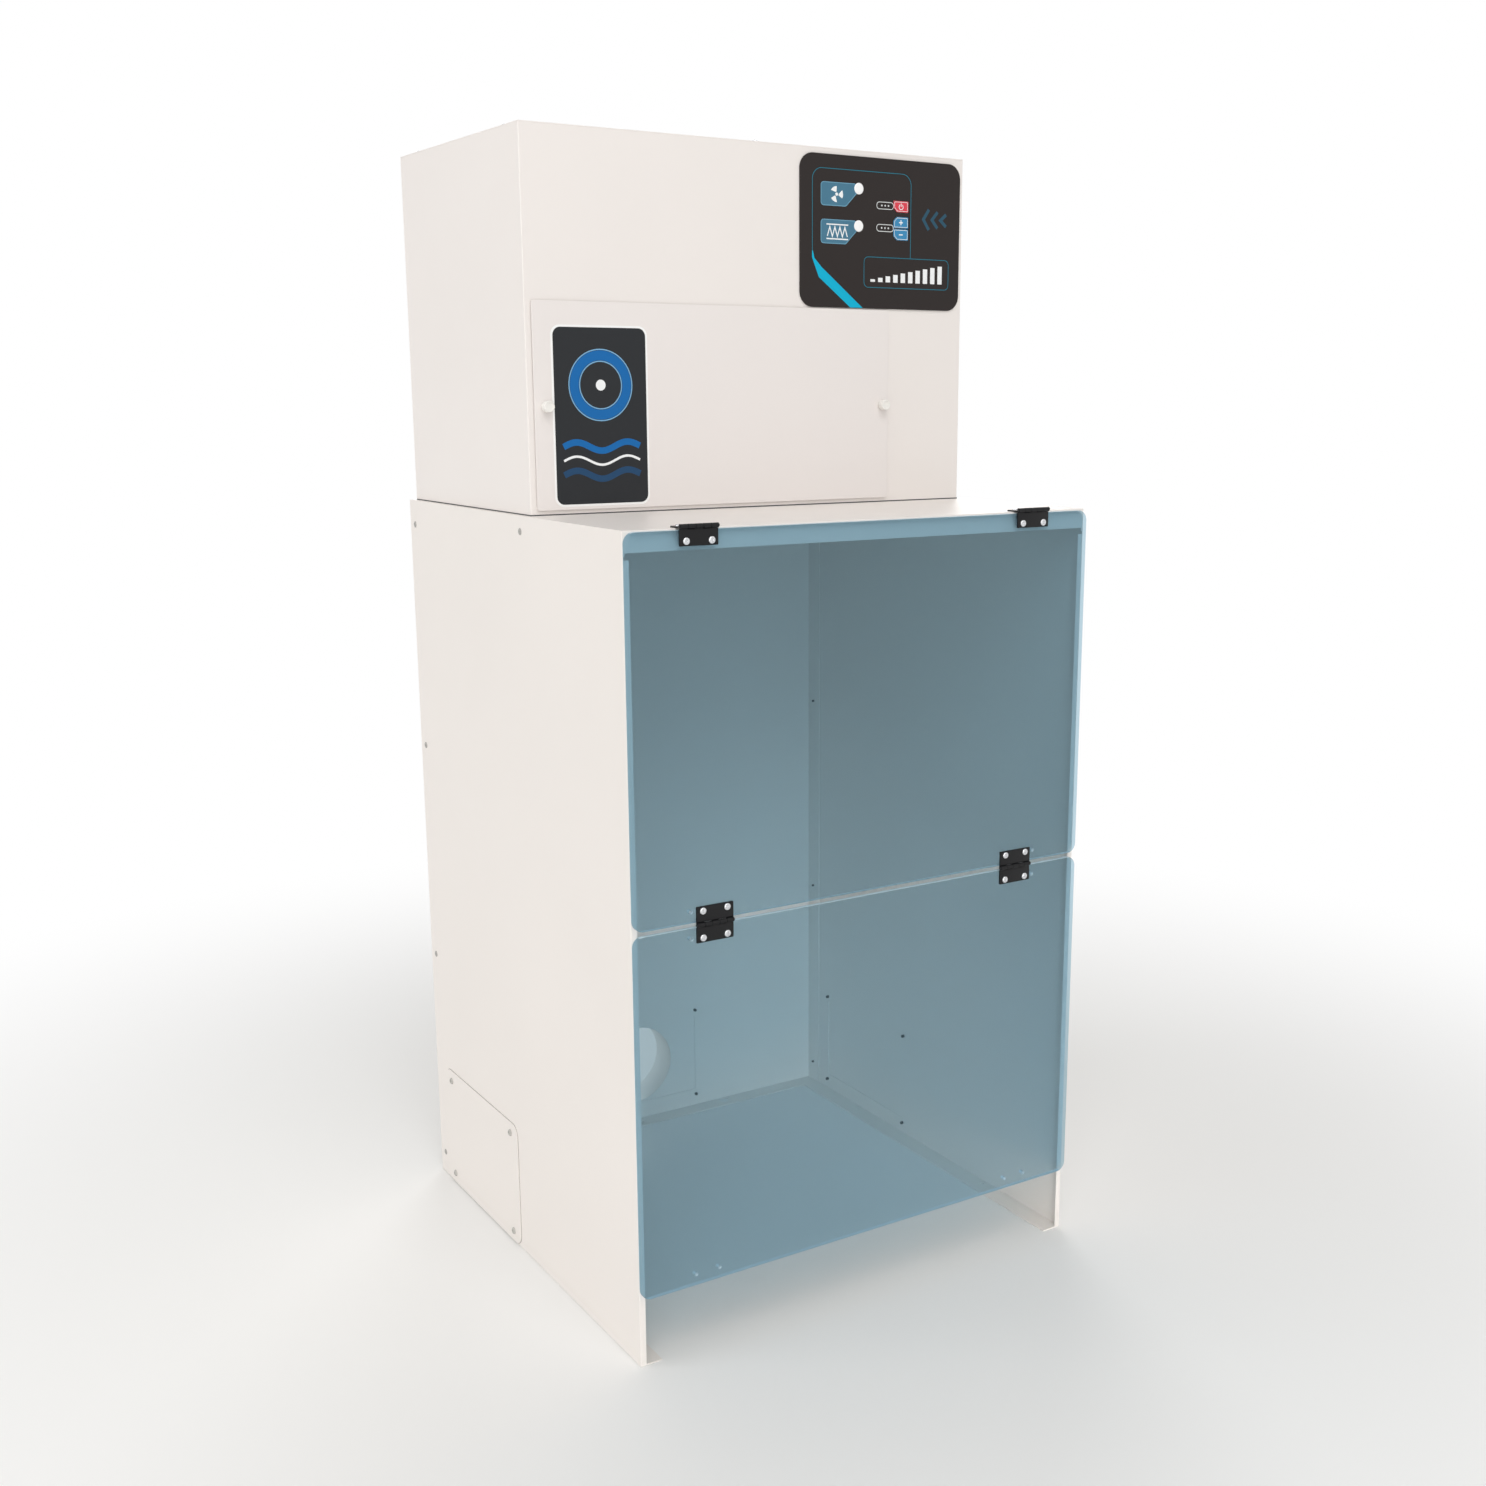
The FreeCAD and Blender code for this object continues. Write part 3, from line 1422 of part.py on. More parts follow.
# Hinges: five interleaved knuckles, three on one leaf and two on the other, round a loose pin
barrel_radius = size("barrel_diameter") / 2
barrel_room = barrel_radius + size("knuckle_gap")
pin_radius = size("pin_diameter") / 2
leaf_back = size("pin_offset")
leaf_front = leaf_back - size("leaf_thickness")
BARREL_SIDES = 12
OUTER_KNUCKLES = (0, 2, 4)
INNER_KNUCKLES = (1, 3)
knuckles_each = len(OUTER_KNUCKLES + INNER_KNUCKLES)
knuckle_length = (size("hinge_width") - size("knuckle_gap") * (knuckles_each - 1)) / knuckles_each
knuckle_pitch = knuckle_length + size("knuckle_gap")


def leaf(name, middle, pin_z, lies, knuckles):
    """A hinge leaf that lies down a pane, up a pane or back over the roof from its pin."""

    def span(near, far, low_side, high_side):
        """Blocks out a part of the leaf: how far from the pin, and how far behind it."""
        if lies == "back":
            return (pin_y + near, pin_y + far), (pin_z - high_side, pin_z - low_side)
        up_down = (pin_z - far, pin_z - near) if lies == "down" else (pin_z + near, pin_z + far)
        return (pin_y + low_side, pin_y + high_side), up_down

    start = middle - size("hinge_width") / 2
    across = (start, start + size("hinge_width"))
    pieces = [block(name + "_plate", across, *span(barrel_room, size("leaf_reach"), leaf_front, leaf_back))]
    for index in knuckles:
        low = start + knuckle_pitch * index
        sides = (low, low + knuckle_length)
        place = (low, pin_y, pin_z)
        barrel = prism(f"{name}_barrel_{index}", "+x", place, BARREL_SIDES, barrel_radius, knuckle_length)
        pieces.append(barrel)
        pieces.append(block(f"{name}_neck_{index}", sides, *span(zero, barrel_room, leaf_front, leaf_back)))
    body = fused(name + "_solid", *pieces)
    bore = pin_radius + size("pin_clearance")
    place = (start, pin_y, pin_z)
    tools = [prism(name + "_bore", "+x", place, SMALL_ROUND_SIDES, bore, size("hinge_width"))]
    facing = {"back": "-z", "down": "+y", "up": "+y"}[lies]
    for end in (-1, 1):
        x = middle + hinge_screw_half * end
        base = {
            "back": (x, pin_y + hinge_reach, pin_z),
            "down": (x, pin_y, pin_z - hinge_reach),
            "up": (x, pin_y, pin_z + hinge_reach),
        }[lies]
        tools.append(prism(f"{name}_hole_{end + 1}", facing, base, SMALL_ROUND_SIDES, hinge_hole, leaf_back))
    return cut(name, body, *tools)


def leaf_pair(label, middle, pin_z, lies, knuckles):
    near = leaf(label + "_left", -middle, pin_z, lies, knuckles)
    return grouped(label, [near, mirrored(label + "_right", near)])


leaf_pair("roof_hinge_roof_leaves", roof_hinge_x, roof_pin_z, "back", OUTER_KNUCKLES)
leaf_pair("roof_hinge_pane_leaves", roof_hinge_x, roof_pin_z, "down", INNER_KNUCKLES)
leaf_pair("middle_hinge_upper_leaves", middle_hinge_x, seam, "up", OUTER_KNUCKLES)
leaf_pair("middle_hinge_lower_leaves", middle_hinge_x, seam, "down", INNER_KNUCKLES)
for label, middle, pin_z in (
    ("roof_hinge_pins", roof_hinge_x, roof_pin_z),
    ("middle_hinge_pins", middle_hinge_x, seam),
):
    start = size("hinge_width") / -2 - size("pin_overhang")
    length = size("hinge_width") + size("pin_overhang") * 2
    pins = [
        bar(f"{label}_{side + 1}", "+x", (middle * side + start, pin_y, pin_z), pin_radius, length)
        for side in (-1, 1)
    ]
    grouped(label, pins)


def hinge_screw(name, facing, seat, depth):
    head = size("hinge_screw_head_diameter") / 2
    shank = size("hinge_screw_diameter") / 2
    return fastener(name, facing, seat, shank, depth, head, size("hinge_screw_head_height"))


roof_screw_depth = size("leaf_thickness") + metal + size("roof_screw_point")
pane_screw_depth = size("leaf_thickness") + size("pane_thickness") - size("pane_screw_short")
leaf_face = pane_outside - size("leaf_thickness")
roof_leaf_face = roof + size("leaf_thickness")
roof_screw_y = pin_y + hinge_reach
grouped(
    "roof_hinge_roof_screws",
    [
        hinge_screw(f"roof_leaf_screw_{index}", "+z", (x, roof_screw_y, roof_leaf_face), roof_screw_depth)
        for index, x in enumerate(hinge_screw_xs(roof_hinge_x))
    ],
)
upper_screw_places = [(x, roof_pin_z - hinge_reach) for x in hinge_screw_xs(roof_hinge_x)]
upper_screw_places += [(x, seam + hinge_reach) for x in hinge_screw_xs(middle_hinge_x)]
lower_screw_places = [(x, seam - hinge_reach) for x in hinge_screw_xs(middle_hinge_x)]
for label, places in (
    ("upper_window_screws", upper_screw_places),
    ("lower_window_screws", lower_screw_places),
):
    grouped(
        label,
        [
            hinge_screw(f"{label}_{index}", "-y", (x, leaf_face, z), pane_screw_depth)
            for index, (x, z) in enumerate(places)
        ],
    )

# Recompute, test every object, and write one file for each sub-part
doc.recompute()
for item in doc.Objects:
    if "Invalid" in item.State or "Error" in item.State:
        raise RuntimeError(f"{item.Label} failed: {item.State}")
for item in PARTS:
    if item.Shape.isNull() or not item.Shape.isValid() or not item.Shape.Solids:
        raise RuntimeError(f"{item.Label} has no sound solid")
os.makedirs("parts", exist_ok=True)
for item in PARTS:
    item.Shape.exportStep(f"parts/{item.Label}.step")
print(f"{len(PARTS)} sub-parts written")
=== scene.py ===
# %% [markdown]
# # A bench-top containment cabinet, dressed for a studio picture
# The folded sheet metal, the panes, the hinges and the blower come from a frame of finished solids.
# This lesson gives each of them its surface, adds the small hardware and the printed parts, and sets up
# the studio. Everything is in metres, with X to the right, Y to the back and Z up.

# %% Load the frame
import json
import math

import bmesh
import bpy
from mathutils import Matrix, Vector


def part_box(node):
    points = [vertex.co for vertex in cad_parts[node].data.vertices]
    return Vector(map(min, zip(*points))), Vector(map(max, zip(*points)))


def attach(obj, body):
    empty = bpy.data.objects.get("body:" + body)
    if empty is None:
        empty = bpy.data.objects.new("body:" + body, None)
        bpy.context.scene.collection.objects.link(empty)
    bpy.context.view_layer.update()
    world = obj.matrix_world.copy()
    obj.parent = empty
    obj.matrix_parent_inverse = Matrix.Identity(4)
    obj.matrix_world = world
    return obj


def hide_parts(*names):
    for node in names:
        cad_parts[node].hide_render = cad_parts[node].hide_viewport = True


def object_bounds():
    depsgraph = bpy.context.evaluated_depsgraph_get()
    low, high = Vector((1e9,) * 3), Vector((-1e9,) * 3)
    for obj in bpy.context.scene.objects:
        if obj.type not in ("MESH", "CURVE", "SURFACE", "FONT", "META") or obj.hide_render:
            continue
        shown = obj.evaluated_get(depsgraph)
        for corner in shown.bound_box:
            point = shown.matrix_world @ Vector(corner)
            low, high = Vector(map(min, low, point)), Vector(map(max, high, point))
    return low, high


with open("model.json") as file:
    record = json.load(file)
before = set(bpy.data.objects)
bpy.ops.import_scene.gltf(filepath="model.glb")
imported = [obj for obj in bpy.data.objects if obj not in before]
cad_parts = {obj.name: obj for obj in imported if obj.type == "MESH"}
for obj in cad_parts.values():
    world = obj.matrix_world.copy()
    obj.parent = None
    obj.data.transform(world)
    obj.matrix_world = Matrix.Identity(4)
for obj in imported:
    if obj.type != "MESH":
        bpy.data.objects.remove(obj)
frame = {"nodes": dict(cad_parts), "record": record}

MM = 0.001
frame_low, frame_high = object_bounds()
frame_box = [list(frame_low), list(frame_high)]
nodes = frame["nodes"]
print("pieces in the frame:", len(nodes))

# %% [markdown]
# ## The camera
# The picture is taken from the left and a little above, by someone standing about 1.9 m away. The camera
# stays level, so its direction needs only a turn round the upright axis and a tilt. The object sits a
# little off the middle of the picture: a shift of the lens does that without bending any upright.

# %% Place the camera
CAMERA_PLACE = Vector((-0.9032, -1.5383, 0.8834))
CAMERA_TURN = math.radians(-32.861)
CAMERA_TILT = math.radians(12.482)
SENSOR_WIDTH = 36.0
LENS_LENGTH = 41.67
SHIFT_ACROSS = -0.0435
SHIFT_UP = 0.0188
FAR_LIMIT = 60.0


def make_camera():
    data = bpy.data.cameras.new("studio_camera")
    data.sensor_width = SENSOR_WIDTH
    data.sensor_fit = "HORIZONTAL"
    data.lens = LENS_LENGTH
    data.shift_x = SHIFT_ACROSS
    data.shift_y = SHIFT_UP
    data.clip_end = FAR_LIMIT
    camera = bpy.data.objects.new("studio_camera", data)
    level = math.cos(CAMERA_TILT)
    back = Vector((math.sin(CAMERA_TURN) * level, -math.cos(CAMERA_TURN) * level, math.sin(CAMERA_TILT)))
    camera.location = CAMERA_PLACE
    camera.rotation_mode = "QUATERNION"
    camera.rotation_quaternion = back.to_track_quat("Z", "Y")
    bpy.context.scene.collection.objects.link(camera)
    bpy.context.scene.camera = camera
    return camera


camera = make_camera()
print("camera at", tuple(round(v, 3) for v in camera.location))

# %% [markdown]
# ## Colours
# Paint charts and screens give colours in the sRGB scale, and shaders work in linear light. One helper
# turns a six-digit screen colour into the four numbers a shader wants.


# %% Turn a screen colour into a shader colour
def colour(code, share=1.0):
    """The linear colour of a screen colour such as EFECE6, made brighter or darker by share."""
    channels = [int(code[i : i + 2], 16) / 255 for i in (0, 2, 4)]
    linear = [c / 12.92 if c <= 0.04045 else ((c + 0.055) / 1.055) ** 2.4 for c in channels]
    return (*[min(1.0, c * share) for c in linear], 1.0)


print("mid grey:", [round(c, 3) for c in colour("808080")])

# %% [markdown]
# ## Nodes for materials
# No real surface is quite even, so each finish here is built from noise: one that tints it, one that
# varies its gloss and one that stands for its grain. The texture place is the piece's own, so a pattern
# goes along when the piece moves. A few small functions make and join the nodes. Blender's noise stays
# mostly between two values around its middle, and the helpers stretch that range.

# %% Helpers that make and join the nodes of a material
NOISE_LOW = 0.3
NOISE_HIGH = 0.7


def new_material(name):
    """A material with its node tree, its shader and a texture place that stays with the piece."""
    material = bpy.data.materials.new(name)
    material.use_nodes = True
    tree = material.node_tree
    shader = tree.nodes["Principled BSDF"]
    place = tree.nodes.new("ShaderNodeTexCoord").outputs["Object"]
    return material, tree, shader, place


def add_noise(tree, place, size, detail=3.0, stretch=(1.0, 1.0, 1.0)):
    """Noise with features of about the given size in metres, drawn out along an axis by stretch."""
    mapping = tree.nodes.new("ShaderNodeMapping")
    mapping.inputs["Scale"].default_value = stretch
    tree.links.new(place, mapping.inputs["Vector"])
    noise = tree.nodes.new("ShaderNodeTexNoise")
    noise.inputs["Scale"].default_value = 1.0 / size
    noise.inputs["Detail"].default_value = detail
    tree.links.new(mapping.outputs["Vector"], noise.inputs["Vector"])
    return noise.outputs["Fac"]


def add_blend(tree, factor, first, second):
    """A colour that goes from first to second, following a noise."""
    ramp = tree.nodes.new("ShaderNodeValToRGB")
    ramp.color_ramp.elements[0].position = NOISE_LOW
    ramp.color_ramp.elements[0].color = first
    ramp.color_ramp.elements[1].position = NOISE_HIGH
    ramp.color_ramp.elements[1].color = second
    tree.links.new(factor, ramp.inputs["Fac"])
    return ramp.outputs["Color"]


def add_range(tree, factor, low, high):
    """A number from low to high, following a noise."""
    spread = tree.nodes.new("ShaderNodeMapRange")
    spread.inputs["From Min"].default_value = NOISE_LOW
    spread.inputs["From Max"].default_value = NOISE_HIGH
    spread.inputs["To Min"].default_value = low
    spread.inputs["To Max"].default_value = high
    tree.links.new(factor, spread.inputs["Value"])
    return spread.outputs["Result"]


def add_bump(tree, shader, height, depth, strength):
    """A bump of the given depth in metres."""
    bump = tree.nodes.new("ShaderNodeBump")
    bump.inputs["Strength"].default_value = strength
    bump.inputs["Distance"].default_value = depth
    tree.links.new(height, bump.inputs["Height"])
    tree.links.new(bump.outputs["Normal"], shader.inputs["Normal"])


print("noise runs from", NOISE_LOW, "to", NOISE_HIGH)

# %% [markdown]
# ## Paint, plastic and rubber
# Painted sheet, moulded plastic and rubber differ in colour and gloss, but they are built alike. A wide,
# faint noise shifts the colour, as paint is never quite even. A finer one varies the gloss, as hands and
# dust do. The finest is a bump: the orange peel of powder coat, or the grain of a mould. One function
# makes them all, and each finish is one line of numbers.

# %% Make the coated and moulded finishes
SMEAR_SIZE = 60 * MM
GRAIN_DETAIL = 2.0
COAT_BUMP = 0.6


def coated(name, code, gloss=(0.38, 0.46), grain=1.2 * MM, depth=0.02 * MM, mottle=0.012, patch=0.25,
           shine=0.5):
    """Paint, plastic or rubber: colour, range of roughness, grain size and depth, unevenness and shine."""
    material, tree, shader, place = new_material(name)
    shader.inputs["Specular IOR Level"].default_value = shine
    wide = add_noise(tree, place, patch)
    tint = add_blend(tree, wide, colour(code, 1 - mottle), colour(code, 1 + mottle))
    tree.links.new(tint, shader.inputs["Base Color"])
    smear = add_noise(tree, place, SMEAR_SIZE)
    tree.links.new(add_range(tree, smear, *gloss), shader.inputs["Roughness"])
    add_bump(tree, shader, add_noise(tree, place, grain, GRAIN_DETAIL), depth, COAT_BUMP)
    return material


finishes = {
    "cabinet_paint": coated("warm_white_powder_coat", "EFE9E4"),
    "housing_paint": coated("soft_white_powder_coat", "EEE8E4"),
    "door_paint": coated("door_powder_coat", "EBE5E2"),
    "screw_painted": coated("painted_screw_heads", "B9B7B2", (0.3, 0.4)),
    "rivet_painted": coated("painted_rivet_heads", "A6A4A0", (0.3, 0.4)),
    "black_hinge": coated("black_hinge_enamel", "121214", (0.3, 0.42), 0.9 * MM, 0.03 * MM, 0.1, shine=0.25),
    "light_diffuser": coated("frosted_diffuser", "F4F4F0", (0.5, 0.6)),
    "knob_plastic": coated("white_knob_plastic", "EFEDE8", (0.3, 0.36), 0.4 * MM, 0.01 * MM),
    "gasket_foam": coated("gasket_foam", "2B2B2D", (0.85, 0.95), 0.7 * MM, 0.25 * MM, 0.15, 0.01),
    "overlay_charcoal": coated("charcoal_film", "2F2A29", (0.36, 0.44), 0.25 * MM, 0.006 * MM, shine=0.15),
    "key_red": coated("red_key_film", "D8394A", (0.3, 0.36), 0.25 * MM, 0.006 * MM),
    "key_blue": coated("blue_key_film", "3085B5", (0.3, 0.36), 0.25 * MM, 0.006 * MM),
    "board_green": coated("board_lacquer", "1F5C3A", (0.25, 0.35), 0.8 * MM, 0.03 * MM, 0.1, 0.004),
    "board_parts": coated("component_epoxy", "1C1C1E", (0.45, 0.55), 0.3 * MM, 0.02 * MM),
    "inlet_plastic": coated("inlet_moulding", "1A1A1C", (0.35, 0.45), 0.4 * MM, 0.02 * MM),
    "exhaust_plastic": coated("exhaust_moulding", "232325", (0.45, 0.55), 0.5 * MM, 0.03 * MM),
    "filter_card": coated("filter_card_frame", "B99A6B", (0.8, 0.9), 0.5 * MM, 0.08 * MM, 0.08, 0.01),
    "filter_paper": coated("pleated_glass_paper", "ECEAE2", (0.85, 0.95), 0.3 * MM, 0.06 * MM, 0.04, 0.01),
    "filter_mat": coated("prefilter_fibre_mat", "D9DEE0", (0.9, 1.0), 0.6 * MM, 0.6 * MM, 0.1, 0.004),
    "seal_rubber": coated("grey_seal_rubber", "4A4C4E", (0.6, 0.7), 0.5 * MM, 0.05 * MM, 0.08),
    "motor_black": coated("motor_enamel", "1B1B1D", (0.4, 0.5), 0.8 * MM, 0.05 * MM, 0.1),
    "lens_white": coated("white_lens", "FAFAFA", (0.15, 0.2), 0.4 * MM, 0.004 * MM),
}
print("coated finishes:", len(finishes))

# %% [markdown]
# ## Bare metals
# Rolled and brushed metal shines in streaks. The same noise helpers do it, with the noise drawn out
# along one axis. Zinc flakes into patches instead, so its noise is short and coarse.

# %% Make the bare metals
STREAK_DETAIL = 4.0
METAL_BUMP = 0.4


def bare_metal(name, code, gloss, grain, stretch, depth=0.01 * MM, mottle=0.06):
    """Metal with streaks or patches: range of roughness, grain size and how the grain is drawn out."""
    material, tree, shader, place = new_material(name)
    shader.inputs["Metallic"].default_value = 1.0
    streaks = add_noise(tree, place, grain, STREAK_DETAIL, stretch)
    tint = add_blend(tree, streaks, colour(code, 1 - mottle), colour(code, 1 + mottle))
    tree.links.new(tint, shader.inputs["Base Color"])
    tree.links.new(add_range(tree, streaks, *gloss), shader.inputs["Roughness"])
    add_bump(tree, shader, streaks, depth, METAL_BUMP)
    return material


EVEN = (1.0, 1.0, 1.0)
ALONG_X = (0.03, 1.0, 1.0)
finishes["screw_zinc"] = bare_metal("bright_zinc_screws", "D9DADC", (0.2, 0.34), 0.8 * MM, EVEN)
finishes["hinge_pin"] = bare_metal("blackened_pins", "4A4A4C", (0.35, 0.45), 0.6 * MM, EVEN)
finishes["galvanised"] = bare_metal("galvanised_sheet", "B9BCBE", (0.32, 0.5), 9 * MM, EVEN, mottle=0.12)
finishes["grille_aluminium"] = bare_metal("satin_aluminium", "C9CACC", (0.3, 0.42), 1.5 * MM, ALONG_X)
finishes["brass"] = bare_metal("turned_brass", "C8A25A", (0.25, 0.35), 0.5 * MM, EVEN)
finishes["hepa_metal"] = bare_metal("plated_filter_case", "BFC2C4", (0.35, 0.5), 3 * MM, ALONG_X)
finishes["impeller_metal"] = bare_metal("cast_impeller", "A9ABAD", (0.4, 0.55), 2 * MM, EVEN)
print("finishes in all:", len(finishes))

# %% [markdown]
# ## Tinted acrylic
# The panes are flat clear sheets with a blue tint. A refracting shader would be slow and would stop the
# lamps from lighting the chamber. Flat sheet hardly bends what is seen through it, so a transparent
# shader carries the tint instead: it is met twice, at the front face and at the back face of the sheet. A
# glossy shader is laid over it by Schlick's rule, a few hundredths head on and much more at a slant. The
# Fresnel node would do that too, but it takes the back face for the inside of a solid block, and mirrors
# everything that is seen at a slant. Layer Weight treats both faces alike.

# %% Make the acrylic
PANE_TINT = "DEEBF1"
PANE_HAZE = "A9C3D2"
PANE_GLOSS = (0.04, 0.09)
HAZE_PATCH = 0.3
WIPE_MARK = 0.08
GLOSS_HEAD_ON = 0.05
SCHLICK_POWER = 5.0


def tinted_acrylic(name):
    """Clear and tinted, under a gloss that grows with the slant of the view."""
    material, tree, shader, place = new_material(name)
    wide = add_noise(tree, place, HAZE_PATCH)
    haze = add_blend(tree, wide, colour(PANE_HAZE, 0.97), colour(PANE_HAZE, 1.03))
    tree.links.new(haze, shader.inputs["Base Color"])
    wiped = add_noise(tree, place, WIPE_MARK)
    tree.links.new(add_range(tree, wiped, *PANE_GLOSS), shader.inputs["Roughness"])
    clear = tree.nodes.new("ShaderNodeBsdfTransparent")
    clear.inputs["Color"].default_value = colour(PANE_TINT)
    slant = tree.nodes.new("ShaderNodeLayerWeight")
    slant.inputs["Blend"].default_value = 0.5
    steep = tree.nodes.new("ShaderNodeMath")
    steep.operation = "POWER"
    steep.inputs[1].default_value = SCHLICK_POWER
    tree.links.new(slant.outputs["Facing"], steep.inputs[0])
    cover = tree.nodes.new("ShaderNodeMath")
    cover.operation = "MULTIPLY_ADD"
    cover.inputs[1].default_value = 1.0 - GLOSS_HEAD_ON
    cover.inputs[2].default_value = GLOSS_HEAD_ON
    tree.links.new(steep.outputs["Value"], cover.inputs[0])
    mix = tree.nodes.new("ShaderNodeMixShader")
    tree.links.new(cover.outputs["Value"], mix.inputs["Fac"])
    tree.links.new(clear.outputs["BSDF"], mix.inputs[1])
    tree.links.new(shader.outputs["BSDF"], mix.inputs[2])
    tree.links.new(mix.outputs["Shader"], tree.nodes["Material Output"].inputs["Surface"])
    return material


finishes["tinted_acrylic"] = tinted_acrylic("blue_tinted_acrylic")
print("acrylic lets through", [round(c, 2) for c in colour(PANE_TINT)[:3]])

# %% [markdown]
# ## Dress the frame
# The record that comes with the frame says which finish each piece takes. A loop puts that material in
# the piece's slot, so no piece is left bare.

# %% Put a finish on every piece of the frame
slot_of = {entry["node"]: entry["material_slot"] for entry in frame["record"]["subparts"]}


def dress(piece, material):
    piece.data.materials.clear()
    piece.data.materials.append(material)


for name, node in nodes.items():
    dress(node, finishes[slot_of[name]])
print("dressed:", len(slot_of))

# %% [markdown]
# ## The background
# The world is white where the camera, a reflection or a pane looks at it, and a softer grey where it
# lights things. The Light Path node tells the two apart, so a white background costs no extra light on
# the cabinet.

# %% Set up the world
WORLD_LIGHT = 0.46
WARM_WHITE = (1.0, 0.995, 0.985)
scene = bpy.context.scene
scene.view_settings.view_transform = "Standard"


def seen_directly(tree):
    """1 where the camera, a mirror image or a clear pane looks, and 0 for light that bounces."""
    path = tree.nodes.new("ShaderNodeLightPath")
    total = path.outputs["Is Camera Ray"]
    for ray in ("Is Glossy Ray", "Is Transmission Ray"):
        larger = tree.nodes.new("ShaderNodeMath")
        larger.operation = "MAXIMUM"
        tree.links.new(total, larger.inputs[0])
        tree.links.new(path.outputs[ray], larger.inputs[1])
        total = larger.outputs["Value"]
    return total


def make_world():
    world = bpy.data.worlds.new("studio_world")
    world.use_nodes = True
    tree = world.node_tree
    tree.nodes.clear()
    shown = tree.nodes.new("ShaderNodeBackground")
    shown.inputs["Color"].default_value = (1.0, 1.0, 1.0, 1.0)
    lighting = tree.nodes.new("ShaderNodeBackground")
    lighting.inputs["Color"].default_value = (*WARM_WHITE, 1.0)
    lighting.inputs["Strength"].default_value = WORLD_LIGHT
    mix = tree.nodes.new("ShaderNodeMixShader")
    out = tree.nodes.new("ShaderNodeOutputWorld")
    tree.links.new(seen_directly(tree), mix.inputs["Fac"])
    tree.links.new(lighting.outputs["Background"], mix.inputs[1])
    tree.links.new(shown.outputs["Background"], mix.inputs[2])
    tree.links.new(mix.outputs["Shader"], out.inputs["Surface"])
    scene.world = world


make_world()
print("the world lights things at", WORLD_LIGHT)

# %% [markdown]
# ## The floor
# The floor is a large pale disc. Near the cabinet it is a plain matt surface that keeps the soft shadow,
# and further out it fades to the white of the background, so no horizon shows. It lies a hair below the
# cabinet's feet, so the two don't share a plane.

# %% Lay the floor
FLOOR_RADIUS = 9.0
FLOOR_DROP = 0.2 * MM
FLOOR_PALE = "F2F2F1"
FADE_START = 0.45
FADE_END = 1.6


def make_floor():
    mesh = bpy.data.meshes.new("studio_floor")
    bm = bmesh.new()
    bmesh.ops.create_circle(bm, cap_ends=True, segments=96, radius=FLOOR_RADIUS)
    bmesh.ops.translate(bm, verts=bm.verts, vec=(0.0, 0.0, -FLOOR_DROP))
    bm.to_mesh(mesh)
    bm.free()
    floor = bpy.data.objects.new("studio_floor", mesh)
    scene.collection.objects.link(floor)
    dress(floor, floor_material())


def floor_material():
    """Matt near the middle, fading to a plain white with the distance from it."""
    material, tree, shader, place = new_material("pale_floor")
    shader.inputs["Base Color"].default_value = colour(FLOOR_PALE)
    shader.inputs["Roughness"].default_value = 0.8
    shader.inputs["Specular IOR Level"].default_value = 0.1
    distance = tree.nodes.new("ShaderNodeVectorMath")
    distance.operation = "LENGTH"
    tree.links.new(place, distance.inputs[0])
    fade = tree.nodes.new("ShaderNodeMapRange")
    fade.interpolation_type = "SMOOTHSTEP"
    fade.inputs["From Min"].default_value = FADE_START
    fade.inputs["From Max"].default_value = FADE_END
    tree.links.new(distance.outputs["Value"], fade.inputs["Value"])
    share = tree.nodes.new("ShaderNodeMath")
    share.operation = "MULTIPLY"
    tree.links.new(fade.outputs["Result"], share.inputs[0])
    tree.links.new(seen_directly(tree), share.inputs[1])
    white = tree.nodes.new("ShaderNodeEmission")
    mix = tree.nodes.new("ShaderNodeMixShader")
    tree.links.new(share.outputs["Value"], mix.inputs["Fac"])
    tree.links.new(shader.outputs["BSDF"], mix.inputs[1])
    tree.links.new(white.outputs["Emission"], mix.inputs[2])
    tree.links.new(mix.outputs["Shader"], tree.nodes["Material Output"].inputs["Surface"])
    return material


make_floor()
print("floor of radius", FLOOR_RADIUS, "m, fading from", FADE_START, "to", FADE_END, "m")

# %% [markdown]
# ## The lamps
# Four broad lamps give the faces their slight difference in tone: one low in front, one high in front, one
# at the left and one behind. A fifth is small and low, with a narrow spread: it lights the foot of the
# chamber, which the roof keeps in shade. Large discs are used because their shadows are soft.

# %% Hang the lamps
CHEST = (0.0, 0.0, 0.6)
CHAMBER_FOOT = (0.25, 0.0, 0.0)
WIDE = 180
NARROW = 27
lamps = [
    ("front_lamp", (-1.8, -3.2, 0.3), CHEST, 3.0, 33.0, WIDE),
    ("top_lamp", (-0.8, -2.5, 3.2), CHEST, 3.0, 54.0, WIDE),
    ("side_lamp", (-3.2, 0.6, 1.6), CHEST, 2.2, 26.0, WIDE),
    ("back_lamp", (1.8, 3.0, 2.2), CHEST, 2.2, 40.0, WIDE),
    ("chamber_lamp", (-0.6, -2.0, 0.15), CHAMBER_FOOT, 0.7, 0.42, NARROW),
]


def add_lamp(name, place, aim, size, watts, spread):
    """A round lamp at a place, turned to its aim, with its spread in degrees."""
    data = bpy.data.lights.new(name, "AREA")
    data.shape = "DISK"
    data.size = size
    data.energy = watts
    data.spread = math.radians(spread)
    data.color = WARM_WHITE
    lamp = bpy.data.objects.new(name, data)
    lamp.location = place
    lamp.rotation_mode = "QUATERNION"
    lamp.rotation_quaternion = (Vector(place) - Vector(aim)).to_track_quat("Z", "Y")
    scene.collection.objects.link(lamp)
    lamp.visible_camera = False


for lamp in lamps:
    add_lamp(*lamp)
print("studio ready, lamps:", len(bpy.data.lights))

